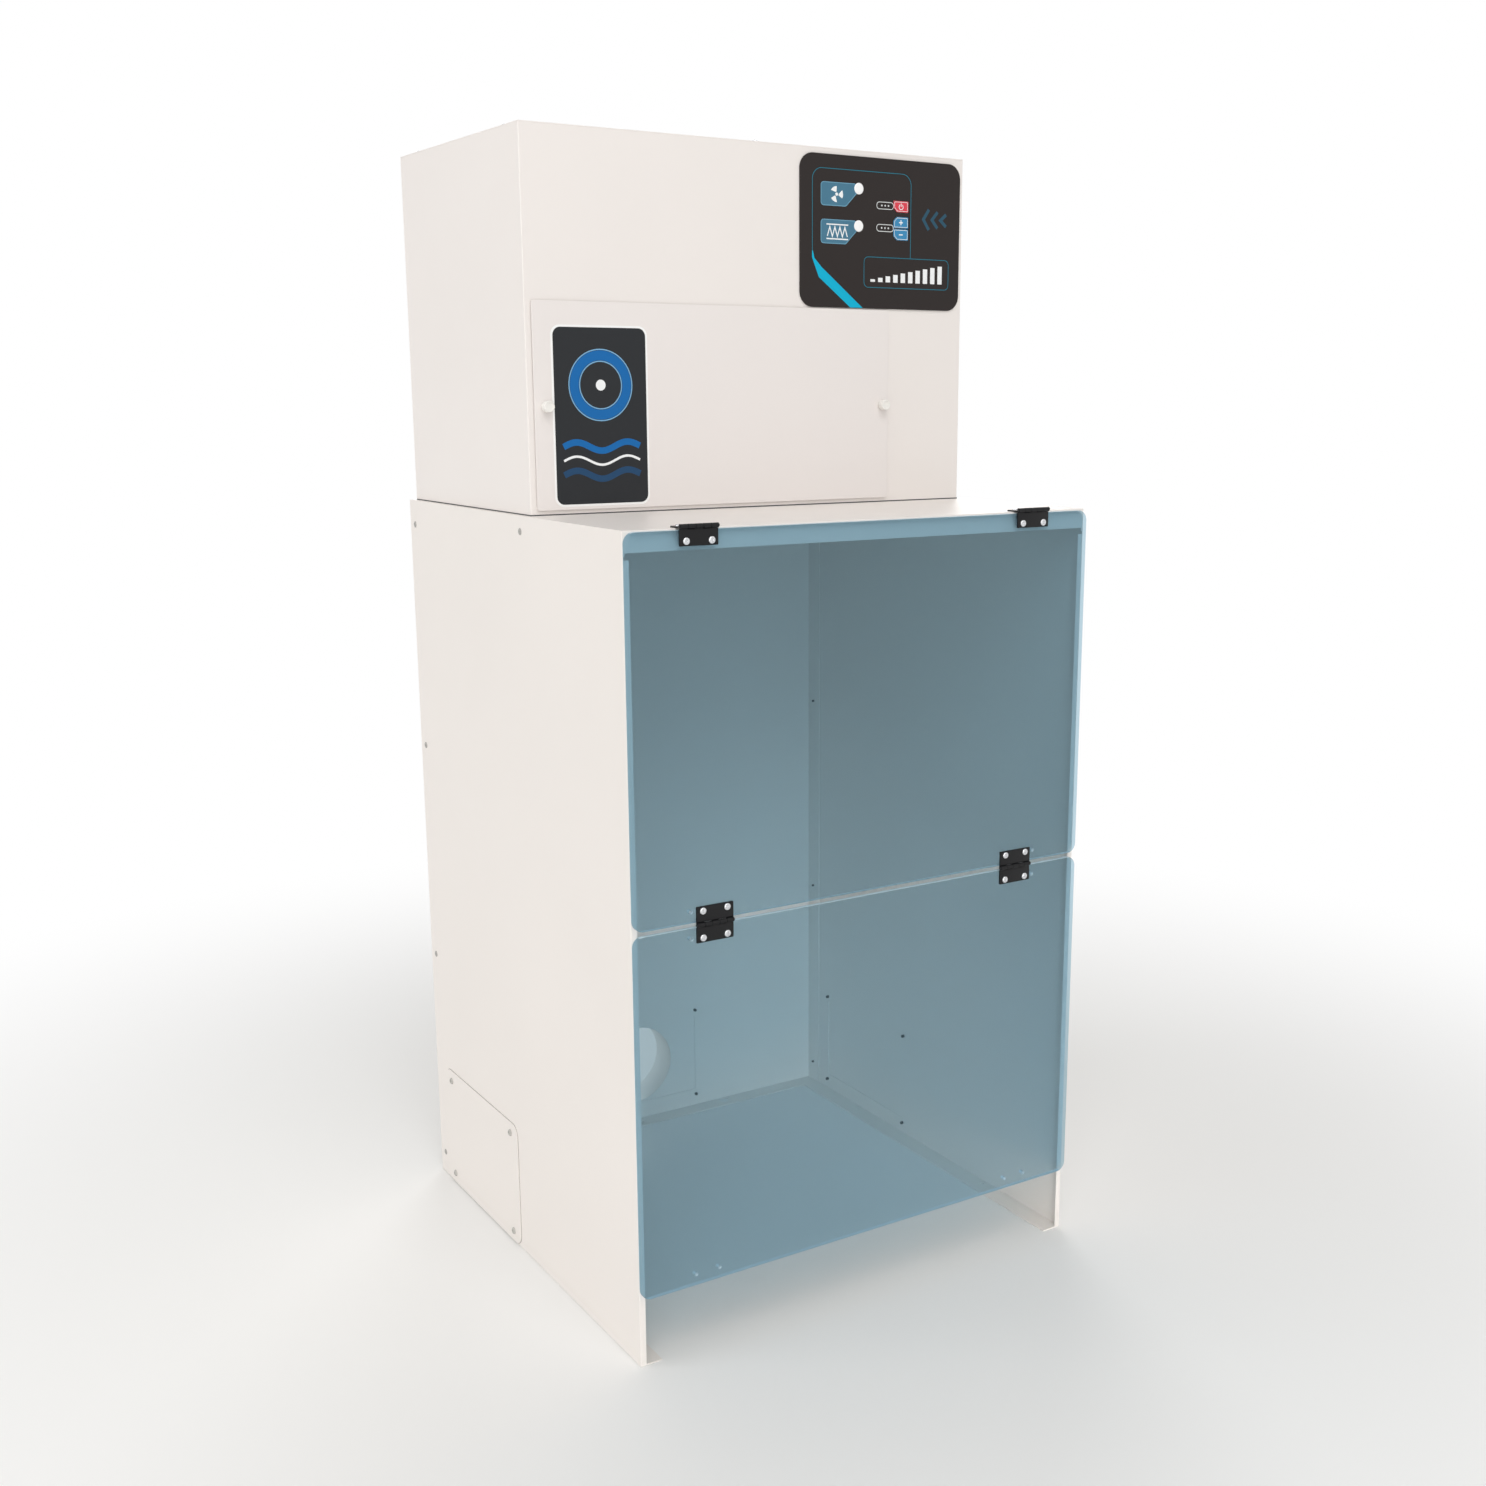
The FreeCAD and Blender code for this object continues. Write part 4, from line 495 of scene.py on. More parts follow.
# %% [markdown]
# ## Pieces in place of nodes
# Each piece that is made from here on rides on one of the cabinet's bodies, so it moves with it. Most of
# them stand for a node of the frame, which is then hidden. Many start as a copy of that node, whose
# triangles are merged into flat faces first.

# %% Helpers that add a piece in place of a node
body_of_node = {}
for body, members in frame["record"]["behaviour"]["bodies"].items():
    body_of_node.update({node: body for node in members})
SMOOTH_ANGLE = math.radians(35)
WELD_DISTANCE = 0.5 * MM / 1000
FLAT_ANGLE = math.radians(0.5)


def add_piece(name, bm, material, body, slot, replaced=()):
    """Makes a piece from a bmesh that rides on a body and hides the nodes it stands for. The slot is not
    used.
    """
    mesh = bpy.data.meshes.new(name)
    bm.to_mesh(mesh)
    bm.free()
    mesh.shade_smooth()
    mesh.set_sharp_from_angle(angle=SMOOTH_ANGLE)
    piece = bpy.data.objects.new(name, mesh)
    scene.collection.objects.link(piece)
    dress(piece, material)
    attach(piece, body)
    if replaced:
        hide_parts(*replaced)
    return piece


def stand_in(prefix, node, bm):
    """A piece that takes its node's body, slot and finish, and stands for it."""
    slot = slot_of[node]
    return add_piece(prefix + node, bm, finishes[slot], body_of_node[node], slot, [node])


def merged_copy(node):
    """The node's mesh with its vertices joined and its flat faces merged."""
    bm = bmesh.new()
    bm.from_mesh(nodes[node].data)
    bmesh.ops.remove_doubles(bm, verts=bm.verts, dist=WELD_DISTANCE)
    bmesh.ops.dissolve_limit(bm, angle_limit=FLAT_ANGLE, verts=bm.verts, edges=bm.edges)
    return bm


print("nodes on bodies:", len(body_of_node))

# %% [markdown]
# ## Soft edges on sheet and mouldings
# A pressed, painted or moulded edge is never perfectly sharp: paint rounds it, and a thin bright line runs
# along it. A shader trick could fake that, but real small bevels look right from everywhere. Each visible
# sheet or moulding of the frame is copied, and its sharp edges are bevelled by about a quarter of a
# millimetre.

# %% Copy sheets and mouldings with soft edges
SHARP_EDGE = math.radians(50)
SHEET_EDGE = 0.22 * MM
MOULDED_EDGE = 0.3 * MM


def soften(node, width):
    """A copy of a node with its sharp edges bevelled by a width."""
    bm = merged_copy(node)
    sharp = [edge for edge in bm.edges if edge.is_manifold and edge.calc_face_angle(0.0) > SHARP_EDGE]
    bmesh.ops.bevel(bm, geom=sharp, offset=width, segments=2, profile=0.5, affect="EDGES",
                    clamp_overlap=True)
    piece = stand_in("soft_", node, bm)
    level = piece.modifiers.new("even_shading", "WEIGHTED_NORMAL")
    level.keep_sharp = True
    return piece


sheets = ["left_side_panel", "right_side_panel", "back_panel", "roof_panel", "left_port_cover",
          "right_port_cover", "rear_port_plate", "housing_wrap", "housing_lid", "housing_rear_panel",
          "filter_door", "led_channel"]
mouldings = ["exhaust_grille", "power_inlet", "led_diffuser"]
for name in sheets:
    soften(name, SHEET_EDGE)
for name in mouldings:
    soften(name, MOULDED_EDGE)
print("soft edges on", len(sheets) + len(mouldings), "pieces")

# %% [markdown]
# ## Panes
# Saw-cut acrylic is polished on its faces, while its level edges catch light from inside the sheet and
# look paler, and so do the walls of its drilled holes. The panes are softened like the sheets, and these
# faces get a second, paler material. The upright edges stay clear, because the folded front of the cabinet
# shows through them.

# %% Make the panes
PANE_EDGE = 0.4 * MM
RIM_REACH = 12 * MM
SHEET_FACE = 0.5
LEVEL_FACE = 0.9
rim = coated("pale_acrylic_rim", "CFE2EC", (0.12, 0.2), 0.5 * MM, 0.006 * MM)


def make_pane(node):
    """A softened pane whose level edges and hole walls take the paler material."""
    pane = soften(node, PANE_EDGE)
    pane.data.materials.append(rim)
    low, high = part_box(node)
    for face in pane.data.polygons:
        in_hole = low.x + RIM_REACH < face.center.x < high.x - RIM_REACH
        is_edge = abs(face.normal.y) < SHEET_FACE
        if is_edge and (in_hole or abs(face.normal.z) > LEVEL_FACE):
            face.material_index = 1
    return pane


panes = [make_pane(node) for node in ("upper_window", "lower_window")]
print("pane rim faces:", [sum(face.material_index for face in pane.data.polygons) for pane in panes])

# %% [markdown]
# ## Where the small parts sit
# A node can hold many small parts, such as all rivets of the walls. Where each of them sits, and how large
# it is, is read from the frame: the separate solids of a node are found by walking along their edges.


# %% Find the separate solids of a node
def loose_boxes(node):
    """The lowest and highest corner of each separate solid in a node."""
    bm = bmesh.new()
    bm.from_mesh(nodes[node].data)
    bmesh.ops.remove_doubles(bm, verts=bm.verts, dist=WELD_DISTANCE)
    left = set(bm.verts)
    boxes = []
    for start in list(bm.verts):
        if start not in left:
            continue
        left.remove(start)
        group = [start]
        for vert in group:
            for edge in vert.link_edges:
                other = edge.other_vert(vert)
                if other in left:
                    left.remove(other)
                    group.append(other)
        low = Vector([min(vert.co[axis] for vert in group) for axis in range(3)])
        high = Vector([max(vert.co[axis] for vert in group) for axis in range(3)])
        boxes.append((low, high))
    bm.free()
    return boxes


print("separate solids in upper_window_screws:", len(loose_boxes("upper_window_screws")))

# %% [markdown]
# ## Turned pieces
# Screw heads, rivets, knobs and lenses are all turned on a lathe or pressed in a round die. Blender's
# Screw modifier could sweep them, but a short function that joins rings of points is as easy, and lets a
# ring be other than round, such as the cross of a Phillips recess.


# %% Sweep rings of points, and place them
def standing(seat, facing):
    """A frame whose Z points along facing, with its origin at the seat."""
    return Matrix.Translation(seat) @ Vector(facing).to_track_quat("Z", "Y").to_matrix().to_4x4()


def sweep(bm, rings, seat, recess=None):
    """Joins rings of points with faces and closes both ends. From ring number recess on, they are dark."""
    made = [[bm.verts.new(seat @ Vector(point)) for point in ring] for ring in rings]
    for number, (lower, upper) in enumerate(zip(made, made[1:])):
        for index in range(len(lower)):
            following = (index + 1) % len(lower)
            face = bm.faces.new((lower[index], lower[following], upper[following], upper[index]))
            face.material_index = 1 if recess is not None and number >= recess else 0
    bm.faces.new(list(reversed(made[0])))
    bm.faces.new(made[-1]).material_index = 1 if recess is not None else 0


def round_ring(radius, height, spokes):
    """Points round the Z axis at a height."""
    turns = [2 * math.pi * index / spokes for index in range(spokes)]
    return [(radius * math.cos(turn), radius * math.sin(turn), height) for turn in turns]


print("a ring of four:", [tuple(round(v, 3) for v in point) for point in round_ring(1.0, 0.0, 4)])

# %% [markdown]
# ## Screws and rivets
# A pan-head screw is a low dome with a rolled rim and a cross recess, and a blind rivet is a flatter dome
# with a dimple where its mandrel broke off. The cross is a ring whose radius follows the outline of a
# plus sign: with spokes every 7.5 degrees, its corners fall exactly on spokes. It is sunk into the dome
# in two steps, so its walls lean in as a real driver bit needs.

# %% Rings for heads and shanks
HEAD_SPOKES = 48
RIVET_SPOKES = 24
SHANK_SPOKES = 16
CROSS_REACH = 0.6
CROSS_HALF_WIDTH = CROSS_REACH * math.tan(math.radians(15))
THREAD_PITCH = 0.5 * MM
THREAD_ROOT = 0.82
PAN_DOME = [(1.0, 0.0), (1.0, 0.38), (0.97, 0.58), (0.9, 0.76), (0.8, 0.89), (0.7, 0.96)]
PAN_CROSS = [(0.98, 1.0), (0.82, 0.6), (0.35, 0.3)]
RIVET_DOME = [(1.0, 0.0), (0.98, 0.3), (0.88, 0.62), (0.68, 0.88), (0.42, 1.0)]
RIVET_DIMPLE = [(0.34, 1.0), (0.3, 0.55), (0.1, 0.5)]


def cross_ring(scale, height):
    """A ring round a plus sign with arms of the named reach and width."""
    ring = []
    for index in range(HEAD_SPOKES):
        turn = 2 * math.pi * index / HEAD_SPOKES
        across = abs(math.cos(turn))
        up = abs(math.sin(turn))
        longer = max(across, up)
        shorter = min(across, up)
        radius = min(CROSS_REACH / longer, CROSS_HALF_WIDTH / max(shorter, 0.001)) * scale
        ring.append((radius * math.cos(turn), radius * math.sin(turn), height))
    return ring


def pan_head_rings(radius, height):
    """From the seat up the rim, over the dome and down into the recess."""
    rings = [round_ring(radius * reach, height * share, HEAD_SPOKES) for reach, share in PAN_DOME]
    return rings + [cross_ring(radius * reach, height * share) for reach, share in PAN_CROSS]


def rivet_rings(radius, height):
    """From the seat over the dome and down into the dimple."""
    profile = RIVET_DOME + RIVET_DIMPLE
    return [round_ring(radius * reach, height * share, RIVET_SPOKES) for reach, share in profile]


def shank_rings(radius, depth):
    """A threaded shank below the seat, as a stack of ridges."""
    rings = [round_ring(radius * 0.6, -depth, SHANK_SPOKES)]
    for turn in range(int(depth / THREAD_PITCH)):
        low = -depth + (turn + 0.4) * THREAD_PITCH
        rings.append(round_ring(radius, low, SHANK_SPOKES))
        rings.append(round_ring(radius * THREAD_ROOT, low + THREAD_PITCH / 2, SHANK_SPOKES))
    return rings


RECESS_START = {pan_head_rings: len(PAN_DOME), rivet_rings: len(RIVET_DOME)}
print("a pan head has", len(pan_head_rings(1.0, 1.0)), "rings")

# %% [markdown]
# ## Heads in their places
# The frame holds each head as a flat-sided solid, and its box gives the seat, the width and the height. A
# head in the sheet metal faces along its thin axis, away from the middle of the object. The screws of the
# hinges are longer than they are wide, so the way that they face is given.

# %% Helpers that put heads, screws and ends in their places
END_SPOKES = 20
# Painted shade: the cross recesses and rivet dimples take this darker colour in place of the shade inside
# them.
recess_shade = coated("shaded_recess", "4A4845", (0.6, 0.7), 0.4 * MM, 0.01 * MM, shine=0.2)


def head_facing(low, high):
    """The thin axis of a head's box, pointing away from the middle of the object."""
    spans = high - low
    axis = min(range(3), key=lambda index: spans[index])
    middle = Vector((0.0, 0.0, (frame_box[0][2] + frame_box[1][2]) / 2))
    facing = Vector((0.0, 0.0, 0.0))
    facing[axis] = math.copysign(1.0, ((low + high) / 2 - middle)[axis])
    return facing


def main_axis(direction):
    return max(range(3), key=lambda index: abs(direction[index]))


def head_radius(spans, axis):
    return min(spans[index] for index in range(3) if index != axis) / 2


def make_heads(node, rings):
    """Replaces each flat-sided head of a node by one with a dome."""
    bm = bmesh.new()
    for low, high in loose_boxes(node):
        toward = head_facing(low, high)
        spans = high - low
        axis = main_axis(toward)
        seat = (low + high) / 2 - toward * (spans[axis] / 2)
        made = rings(head_radius(spans, axis), spans[axis])
        sweep(bm, made, standing(seat, toward), RECESS_START[rings])
    stand_in("domed_", node, bm).data.materials.append(recess_shade)


def make_hinge_screws(node, facing, head_height):
    """Pan heads with the threaded shanks that show through a clear pane."""
    bm = bmesh.new()
    toward = Vector(facing)
    axis = main_axis(toward)
    for low, high in loose_boxes(node):
        spans = high - low
        seat = standing((low + high) / 2 + toward * (spans[axis] / 2 - head_height), toward)
        radius = head_radius(spans, axis)
        sweep(bm, pan_head_rings(radius, head_height), seat, RECESS_START[pan_head_rings])
        sweep(bm, shank_rings(radius / 2, spans[axis] - head_height), seat)
    stand_in("pan_", node, bm).data.materials.append(recess_shade)


def make_ends(name, node, material, radius, skip, length):
    """The ends that come through the wall behind each head, past skip metres of sheet."""
    bm = bmesh.new()
    for low, high in loose_boxes(node):
        toward = head_facing(low, high)
        spans = high - low
        inner = (low + high) / 2 - toward * (spans[main_axis(toward)] / 2 + skip)
        profile = [(1.0, 0.0), (1.0, 0.75), (0.7, 1.0)]
        rings = [round_ring(radius * reach, length * share, END_SPOKES) for reach, share in profile]
        sweep(bm, rings, standing(inner, -toward))
    add_piece(name, bm, material, body_of_node[node], slot_of[node])


print("a box one by two by three is longest along axis", main_axis((1, 2, 3)))

# %% [markdown]
# ## All the screws and rivets
# The painted heads hold the sheet metal, the bright ones the hinges. Inside the walls, the dark ends of the
# port covers' screws and the tails of the rivets show through the panes, past two sheets of steel.

# %% Make the screws, the rivets and their ends
HINGE_HEAD = 1.3 * MM
TWO_SHEETS = 2.4 * MM
for name in ("wall_rivets", "collar_rivets", "housing_base_rivets"):
    make_heads(name, rivet_rings)
for name in ("port_screws", "housing_screws", "motor_screws"):
    make_heads(name, pan_head_rings)
make_hinge_screws("upper_window_screws", (0, -1, 0), HINGE_HEAD)
make_hinge_screws("lower_window_screws", (0, -1, 0), HINGE_HEAD)
make_hinge_screws("roof_hinge_roof_screws", (0, 0, 1), HINGE_HEAD)
dark_steel = bare_metal("oiled_steel", "5A5C5E", (0.35, 0.5), 0.6 * MM, EVEN)
make_ends("port_screw_ends", "port_screws", dark_steel, 1.9 * MM, TWO_SHEETS, 3.2 * MM)
make_ends("wall_rivet_tails", "wall_rivets", dark_steel, 1.5 * MM, TWO_SHEETS, 2.4 * MM)
print("rivets on the walls:", len(loose_boxes("wall_rivets")))

# %% [markdown]
# ## Flat plates
# Hinge leaves, seals and printed shapes are all flat: an outline with thickness. Blender could fill a curve
# and extrude it, but a function that joins two copies of an outline is exact and leaves no stray points. A
# second function rounds the corners of an outline, and a third makes a closed band between two outlines.

# %% Helpers for plates and bands
CORNER_STEPS = 6
CORNER_ROOM = 0.45


def rounded_polygon(points, radius):
    """The points of a polygon with an arc at each corner, in the order given."""
    rounded = []
    count = len(points)
    for index, corner in enumerate(points):
        here = Vector(corner)
        before = Vector(points[index - 1]) - here
        after = Vector(points[(index + 1) % count]) - here
        half = before.angle(after) / 2
        cut = min(radius / math.tan(half), CORNER_ROOM * min(before.length, after.length))
        centre = here + (before.normalized() + after.normalized()).normalized() * (cut / math.cos(half))
        first = here + before.normalized() * cut - centre
        last = here + after.normalized() * cut - centre
        swing = math.atan2(first.x * last.y - first.y * last.x, first.dot(last))
        for step in range(CORNER_STEPS + 1):
            rounded.append(tuple(centre + Matrix.Rotation(swing * step / CORNER_STEPS, 2) @ first))
    return rounded


def plate(bm, outline, low, high, seat, bevel=0.0):
    """A flat plate with the outline in the seat's X and Y, between two levels of its Z."""
    bottom = [bm.verts.new(seat @ Vector((x, y, low))) for x, y in outline]
    top = [bm.verts.new(seat @ Vector((x, y, high))) for x, y in outline]
    faces = [bm.faces.new(list(reversed(bottom))), bm.faces.new(top)]
    for index in range(len(outline)):
        following = (index + 1) % len(outline)
        faces.append(bm.faces.new((bottom[index], bottom[following], top[following], top[index])))
    if bevel:
        edges = list(faces[0].edges) + list(faces[1].edges)
        bmesh.ops.bevel(bm, geom=edges, offset=bevel, segments=2, profile=0.5, affect="EDGES",
                        clamp_overlap=True)


def band(bm, outer, inner, low, high, seat):
    """A closed band between two outlines with equal numbers of points, between two levels."""
    loops = [[bm.verts.new(seat @ Vector((x, y, level))) for x, y in ring]
             for ring, level in ((outer, low), (outer, high), (inner, high), (inner, low))]
    for first, second in zip(loops, loops[1:] + loops[:1]):
        for index in range(len(first)):
            following = (index + 1) % len(first)
            bm.faces.new((first[index], first[following], second[following], second[index]))


square = [(0.0, 0.0), (1.0, 0.0), (1.0, 1.0), (0.0, 1.0)]
print("points of a square with rounded corners:", len(rounded_polygon(square, 0.1)))

# %% [markdown]
# ## Hinges
# A butt hinge is a pair of steel leaves whose edges are cut into tongues and rolled round a pin. Each leaf
# here is a plate with rounded corners, necks that reach to the pin, and a round knuckle on each neck. The
# frame gives the pins and the leaves' boxes. Of the two leaves on a pin, one has three knuckles and so
# reaches both ends of the hinge. It is told from the other by its own material: at the hinge's left end,
# some of it lies on the far side of the pin.

# %% Tell the leaf with three knuckles from the one with two
KNUCKLES = 5
BARREL_RADIUS = 2.1 * MM
END_REACH = 1.0 * MM
# For each node: its pins, the way the leaf reaches from the pin, and the way out of what it is screwed to.
leaf_rows = {
    "roof_hinge_roof_leaves": ("roof_hinge_pins", (0, 1, 0), (0, 0, 1)),
    "roof_hinge_pane_leaves": ("roof_hinge_pins", (0, 0, -1), (0, -1, 0)),
    "middle_hinge_upper_leaves": ("middle_hinge_pins", (0, 0, 1), (0, -1, 0)),
    "middle_hinge_lower_leaves": ("middle_hinge_pins", (0, 0, -1), (0, -1, 0)),
}


def hinge_seats(node):
    """For each hinge of a node: its low corner, the pin's centre at the leaf's middle, and its width."""
    pins = loose_boxes(leaf_rows[node][0])
    for low, high in loose_boxes(node):
        middle = (low.x + high.x) / 2
        pin = min(pins, key=lambda box: abs((box[0].x + box[1].x) / 2 - middle))
        centre = (pin[0] + pin[1]) / 2
        centre.x = middle
        yield low, centre, high.x - low.x


def has_end_knuckles(node, low, centre, reach):
    """True if the leaf's own material goes round the far side of the pin at the hinge's left end."""
    for vert in nodes[node].data.vertices:
        place = vert.co
        at_end = abs(place.x - low.x) < END_REACH and (place.yz - centre.yz).length < BARREL_RADIUS * 1.2
        if at_end and (place - centre).dot(reach) < -BARREL_RADIUS / 2:
            return True
    return False


for node, row in leaf_rows.items():
    ends = [has_end_knuckles(node, low, centre, Vector(row[1])) for low, centre, width in hinge_seats(node)]
    print(node, "has the end knuckles:", ends)

# %% [markdown]
# ## Leaves and knuckles
# The leaf lies flat on its pane or on the roof, a little off the pin's axis, and each neck bridges from
# its edge to the barrel. A knuckle is a short tube with a small chamfer at both ends, as a rolled and
# tumbled edge has, and the gap between two knuckles lets them turn.

# %% Make the hinge leaves
LEAF_REACH = 16.8 * MM
LEAF_THICKNESS = 1.5 * MM
LEAF_CORNER = 0.5 * MM
LEAF_BEVEL = 0.2 * MM
PIN_OFFSET = 1.8 * MM
PIN_BORE = 1.06 * MM
KNUCKLE_GAP = 0.3 * MM
KNUCKLE_CHAMFER = 0.25 * MM
KNUCKLE_SPOKES = 32
NECK_ROOT = 0.6 * MM
NECK_START = BARREL_RADIUS + 0.1 * MM
NECK_END = NECK_START + 0.5 * MM


def add_knuckle(bm, left, right, centre):
    """A tube round the pin, from left to right of its centre."""
    shoulder = BARREL_RADIUS - KNUCKLE_CHAMFER
    side = [(PIN_BORE, left), (shoulder, left), (BARREL_RADIUS, left + KNUCKLE_CHAMFER),
            (BARREL_RADIUS, right - KNUCKLE_CHAMFER), (shoulder, right), (PIN_BORE, right)]
    tube = [round_ring(radius, height, KNUCKLE_SPOKES) for radius, height in side]
    sweep(bm, tube, standing(centre, (1, 0, 0)))


def make_leaves(node):
    """One leaf per hinge: a plate, with a neck and a knuckle at every other place along the pin."""
    reach, out = (Vector(direction) for direction in leaf_rows[node][1:])
    turned = Matrix((Vector((1.0, 0.0, 0.0)), reach, out)).transposed().to_4x4()
    levels = (-PIN_OFFSET, -PIN_OFFSET + LEAF_THICKNESS)
    bm = bmesh.new()
    for low, centre, width in hinge_seats(node):
        seat = Matrix.Translation(centre) @ turned
        half = width / 2
        corners = [(-half, NECK_START), (half, NECK_START), (half, LEAF_REACH), (-half, LEAF_REACH)]
        plate(bm, rounded_polygon(corners, LEAF_CORNER), *levels, seat, LEAF_BEVEL)
        pitch = width / KNUCKLES
        first = 0 if has_end_knuckles(node, low, centre, reach) else 1
        for number in range(first, KNUCKLES, 2):
            left = -half + number * pitch + (KNUCKLE_GAP / 2 if number else 0.0)
            right = -half + (number + 1) * pitch - (KNUCKLE_GAP / 2 if number < KNUCKLES - 1 else 0.0)
            neck = [(left, NECK_ROOT), (right, NECK_ROOT), (right, NECK_END), (left, NECK_END)]
            plate(bm, neck, *levels, seat)
            add_knuckle(bm, left, right, centre)
    return stand_in("rolled_", node, bm)


leaves = [make_leaves(node) for node in leaf_rows]
print("faces of the hinge leaves:", [len(piece.data.polygons) for piece in leaves])

# %% [markdown]
# ## Foot shadow line
# A thin grey line runs round the foot of the housing: painted shadow, standing in for the shade in the gap
# between it and the roof. It is too thin for a solid of its own, so it is one narrow band here. It stands a
# quarter of a millimetre proud of the housing's front and sides, and ends level with its back.

# %% Lay the painted shadow line round the housing's foot
SHADOW_LINE_PROUD = 0.25 * MM
SHADOW_LINE_HEIGHT = 1.1 * MM
SHADOW_LINE_WIDTH = 1.0 * MM


def shadow_line_outline(low, high, inset):
    left = low.x - SHADOW_LINE_PROUD + inset
    front = low.y - SHADOW_LINE_PROUD + inset
    right = high.x + SHADOW_LINE_PROUD - inset
    back = high.y - inset
    return [(left, front), (right, front), (right, back), (left, back)]


# Painted shadow: a grey band round the foot of the housing, where it meets the roof.
def lay_foot_shadow_line():
    low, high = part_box("housing_wrap")
    bm = bmesh.new()
    outer = shadow_line_outline(low, high, 0.0)
    inner = shadow_line_outline(low, high, SHADOW_LINE_WIDTH)
    band(bm, outer, inner, low.z, low.z + SHADOW_LINE_HEIGHT, Matrix.Identity(4))
    bmesh.ops.recalc_face_normals(bm, faces=bm.faces)
    return add_piece("housing_foot_seal", bm, finishes["seal_rubber"], "cabinet", "seal_rubber")


# The foot line is painted shadow, a grey band in the seal rubber's finish.
seal = lay_foot_shadow_line()
print("foot seal round the housing:", len(seal.data.polygons), "faces")

# %% [markdown]
# ## Shadow lines round the covers
# A fine grey line runs round each port cover where it lies on its wall: painted shadow, standing in for the
# shade in the thin gap. It is the cover's own outline, grown by under half a millimetre and pressed flat
# against the wall. It lies a hair off the wall, inside the cover, so it never shows through the port, where
# the cover's inner face is seen.

# %% Lay the painted shadow lines under the port covers
COVER_SHADOW_REACH = 0.4 * MM
COVER_SHADOW_HEIGHT = 0.3 * MM
COVER_SHADOW_LIFT = 0.05 * MM
FLOOR_CLEARANCE = 0.1 * MM
# Painted shadow: this grey stands in for the shade in the gap round each cover.
cover_shadow_grey = coated("pale_sealing_film", "A8A4A0", (0.6, 0.7), 0.5 * MM, 0.02 * MM)


def lay_cover_shadow(node, axis, out):
    """A painted shadow line under a cover whose wall is crossed by the axis, with out as 1 or -1 along it.
    """
    low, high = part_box(node)
    middle = (low + high) / 2
    wall = low[axis] if out > 0 else high[axis]
    bm = merged_copy(node)
    for vert in bm.verts:
        for side in range(3):
            reach = vert.co[side] - middle[side]
            if side == axis:
                vert.co[side] = wall + out * (COVER_SHADOW_HEIGHT if reach * out > 0 else COVER_SHADOW_LIFT)
            else:
                vert.co[side] += reach * 2 * COVER_SHADOW_REACH / (high[side] - low[side])
        vert.co.z = max(vert.co.z, FLOOR_CLEARANCE)
    return add_piece("film_under_" + node, bm, cover_shadow_grey, "cabinet", "seal_rubber")


# Grey painted shadow lines round the two port covers and the rear port plate.
cover_shadows = [lay_cover_shadow("left_port_cover", 0, -1), lay_cover_shadow("right_port_cover", 0, 1),
         lay_cover_shadow("rear_port_plate", 1, 1)]
print("films under the covers:", [len(film.data.vertices) for film in cover_shadows], "points")

# %% [markdown]
# ## Thumb knobs
# The filter door is held by two small plastic thumb knobs. Their rims are fluted for grip and their faces
# dished. A ring whose radius ripples makes the flutes, and the ripple is left out of the rings near the
# edges, so the flutes run out as they do on a moulded knob.

# %% Make the knobs
FLUTES = 16
FLUTE_DEPTH = 0.32 * MM
KNOB_SPOKES = 96
KNOB_LENGTH = 8.5 * MM
STUD_RADIUS = 2.0 * MM
STUD_POINT = 0.6 * MM
# Each row is a share of the knob's radius, of its length and of the flutes' depth.
KNOB_PROFILE = [
    (0.8, 0.0, 0.0), (0.86, 0.1, 0.0), (0.99, 0.18, 0.5), (1.0, 0.28, 1.0), (1.0, 0.84, 1.0),
    (0.985, 0.93, 0.4), (0.9, 1.0, 0.0), (0.72, 1.0, 0.0), (0.64, 0.93, 0.0), (0.2, 0.9, 0.0),
]


def fluted_ring(radius, height, depth):
    ring = []
    for index in range(KNOB_SPOKES):
        turn = 2 * math.pi * index / KNOB_SPOKES
        reach = radius - depth * (0.5 + 0.5 * math.cos(FLUTES * turn)) ** 2
        ring.append((reach * math.cos(turn), reach * math.sin(turn), height))
    return ring


def make_knob(node):
    """A stud behind the seat, and the fluted and dished knob in front of it."""
    low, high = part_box(node)
    radius = (high.x - low.x) / 2
    seat = Vector(((low.x + high.x) / 2, low.y + KNOB_LENGTH, (low.z + high.z) / 2))
    depth = high.y - seat.y
    stud = [(STUD_RADIUS * 0.7, -depth), (STUD_RADIUS, -depth + STUD_POINT), (STUD_RADIUS, 0.0)]
    rings = [round_ring(reach, height, KNOB_SPOKES) for reach, height in stud]
    for reach, share, flute in KNOB_PROFILE:
        rings.append(fluted_ring(radius * reach, KNOB_LENGTH * share, FLUTE_DEPTH * flute))
    bm = bmesh.new()
    sweep(bm, rings, standing(seat, (0, -1, 0)))
    stand_in("fluted_", node, bm)


for node in ("left_door_knob", "right_door_knob"):
    make_knob(node)
knob_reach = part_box("filter_door")[0].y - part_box("left_door_knob")[0].y
print("the knobs stand proud of the door by", round(knob_reach / MM, 1), "mm")

# %% [markdown]
# ## Printed shapes
# The keypad and the door carry printed film. Paint layers on a mesh would need an unwrapped picture;
# instead each printed shape is its own very thin plate on the film, so its edges stay crisp at any size.
# Outlines are given in millimetres, across and up, seen from the front.

# %% Helpers for filled shapes
FRONT_VIEW = Matrix(((1, 0, 0, 0), (0, 0, -1, 0), (0, 1, 0, 0), (0, 0, 0, 1)))
INK = 0.03 * MM
INK_GLOSS = (0.3, 0.38)
MITRE_LIMIT = 0.3


def box_corners(left, low, right, high):
    return [(left, low), (right, low), (right, high), (left, high)]


def in_metres(points):
    return [(x * MM, z * MM) for x, z in points]


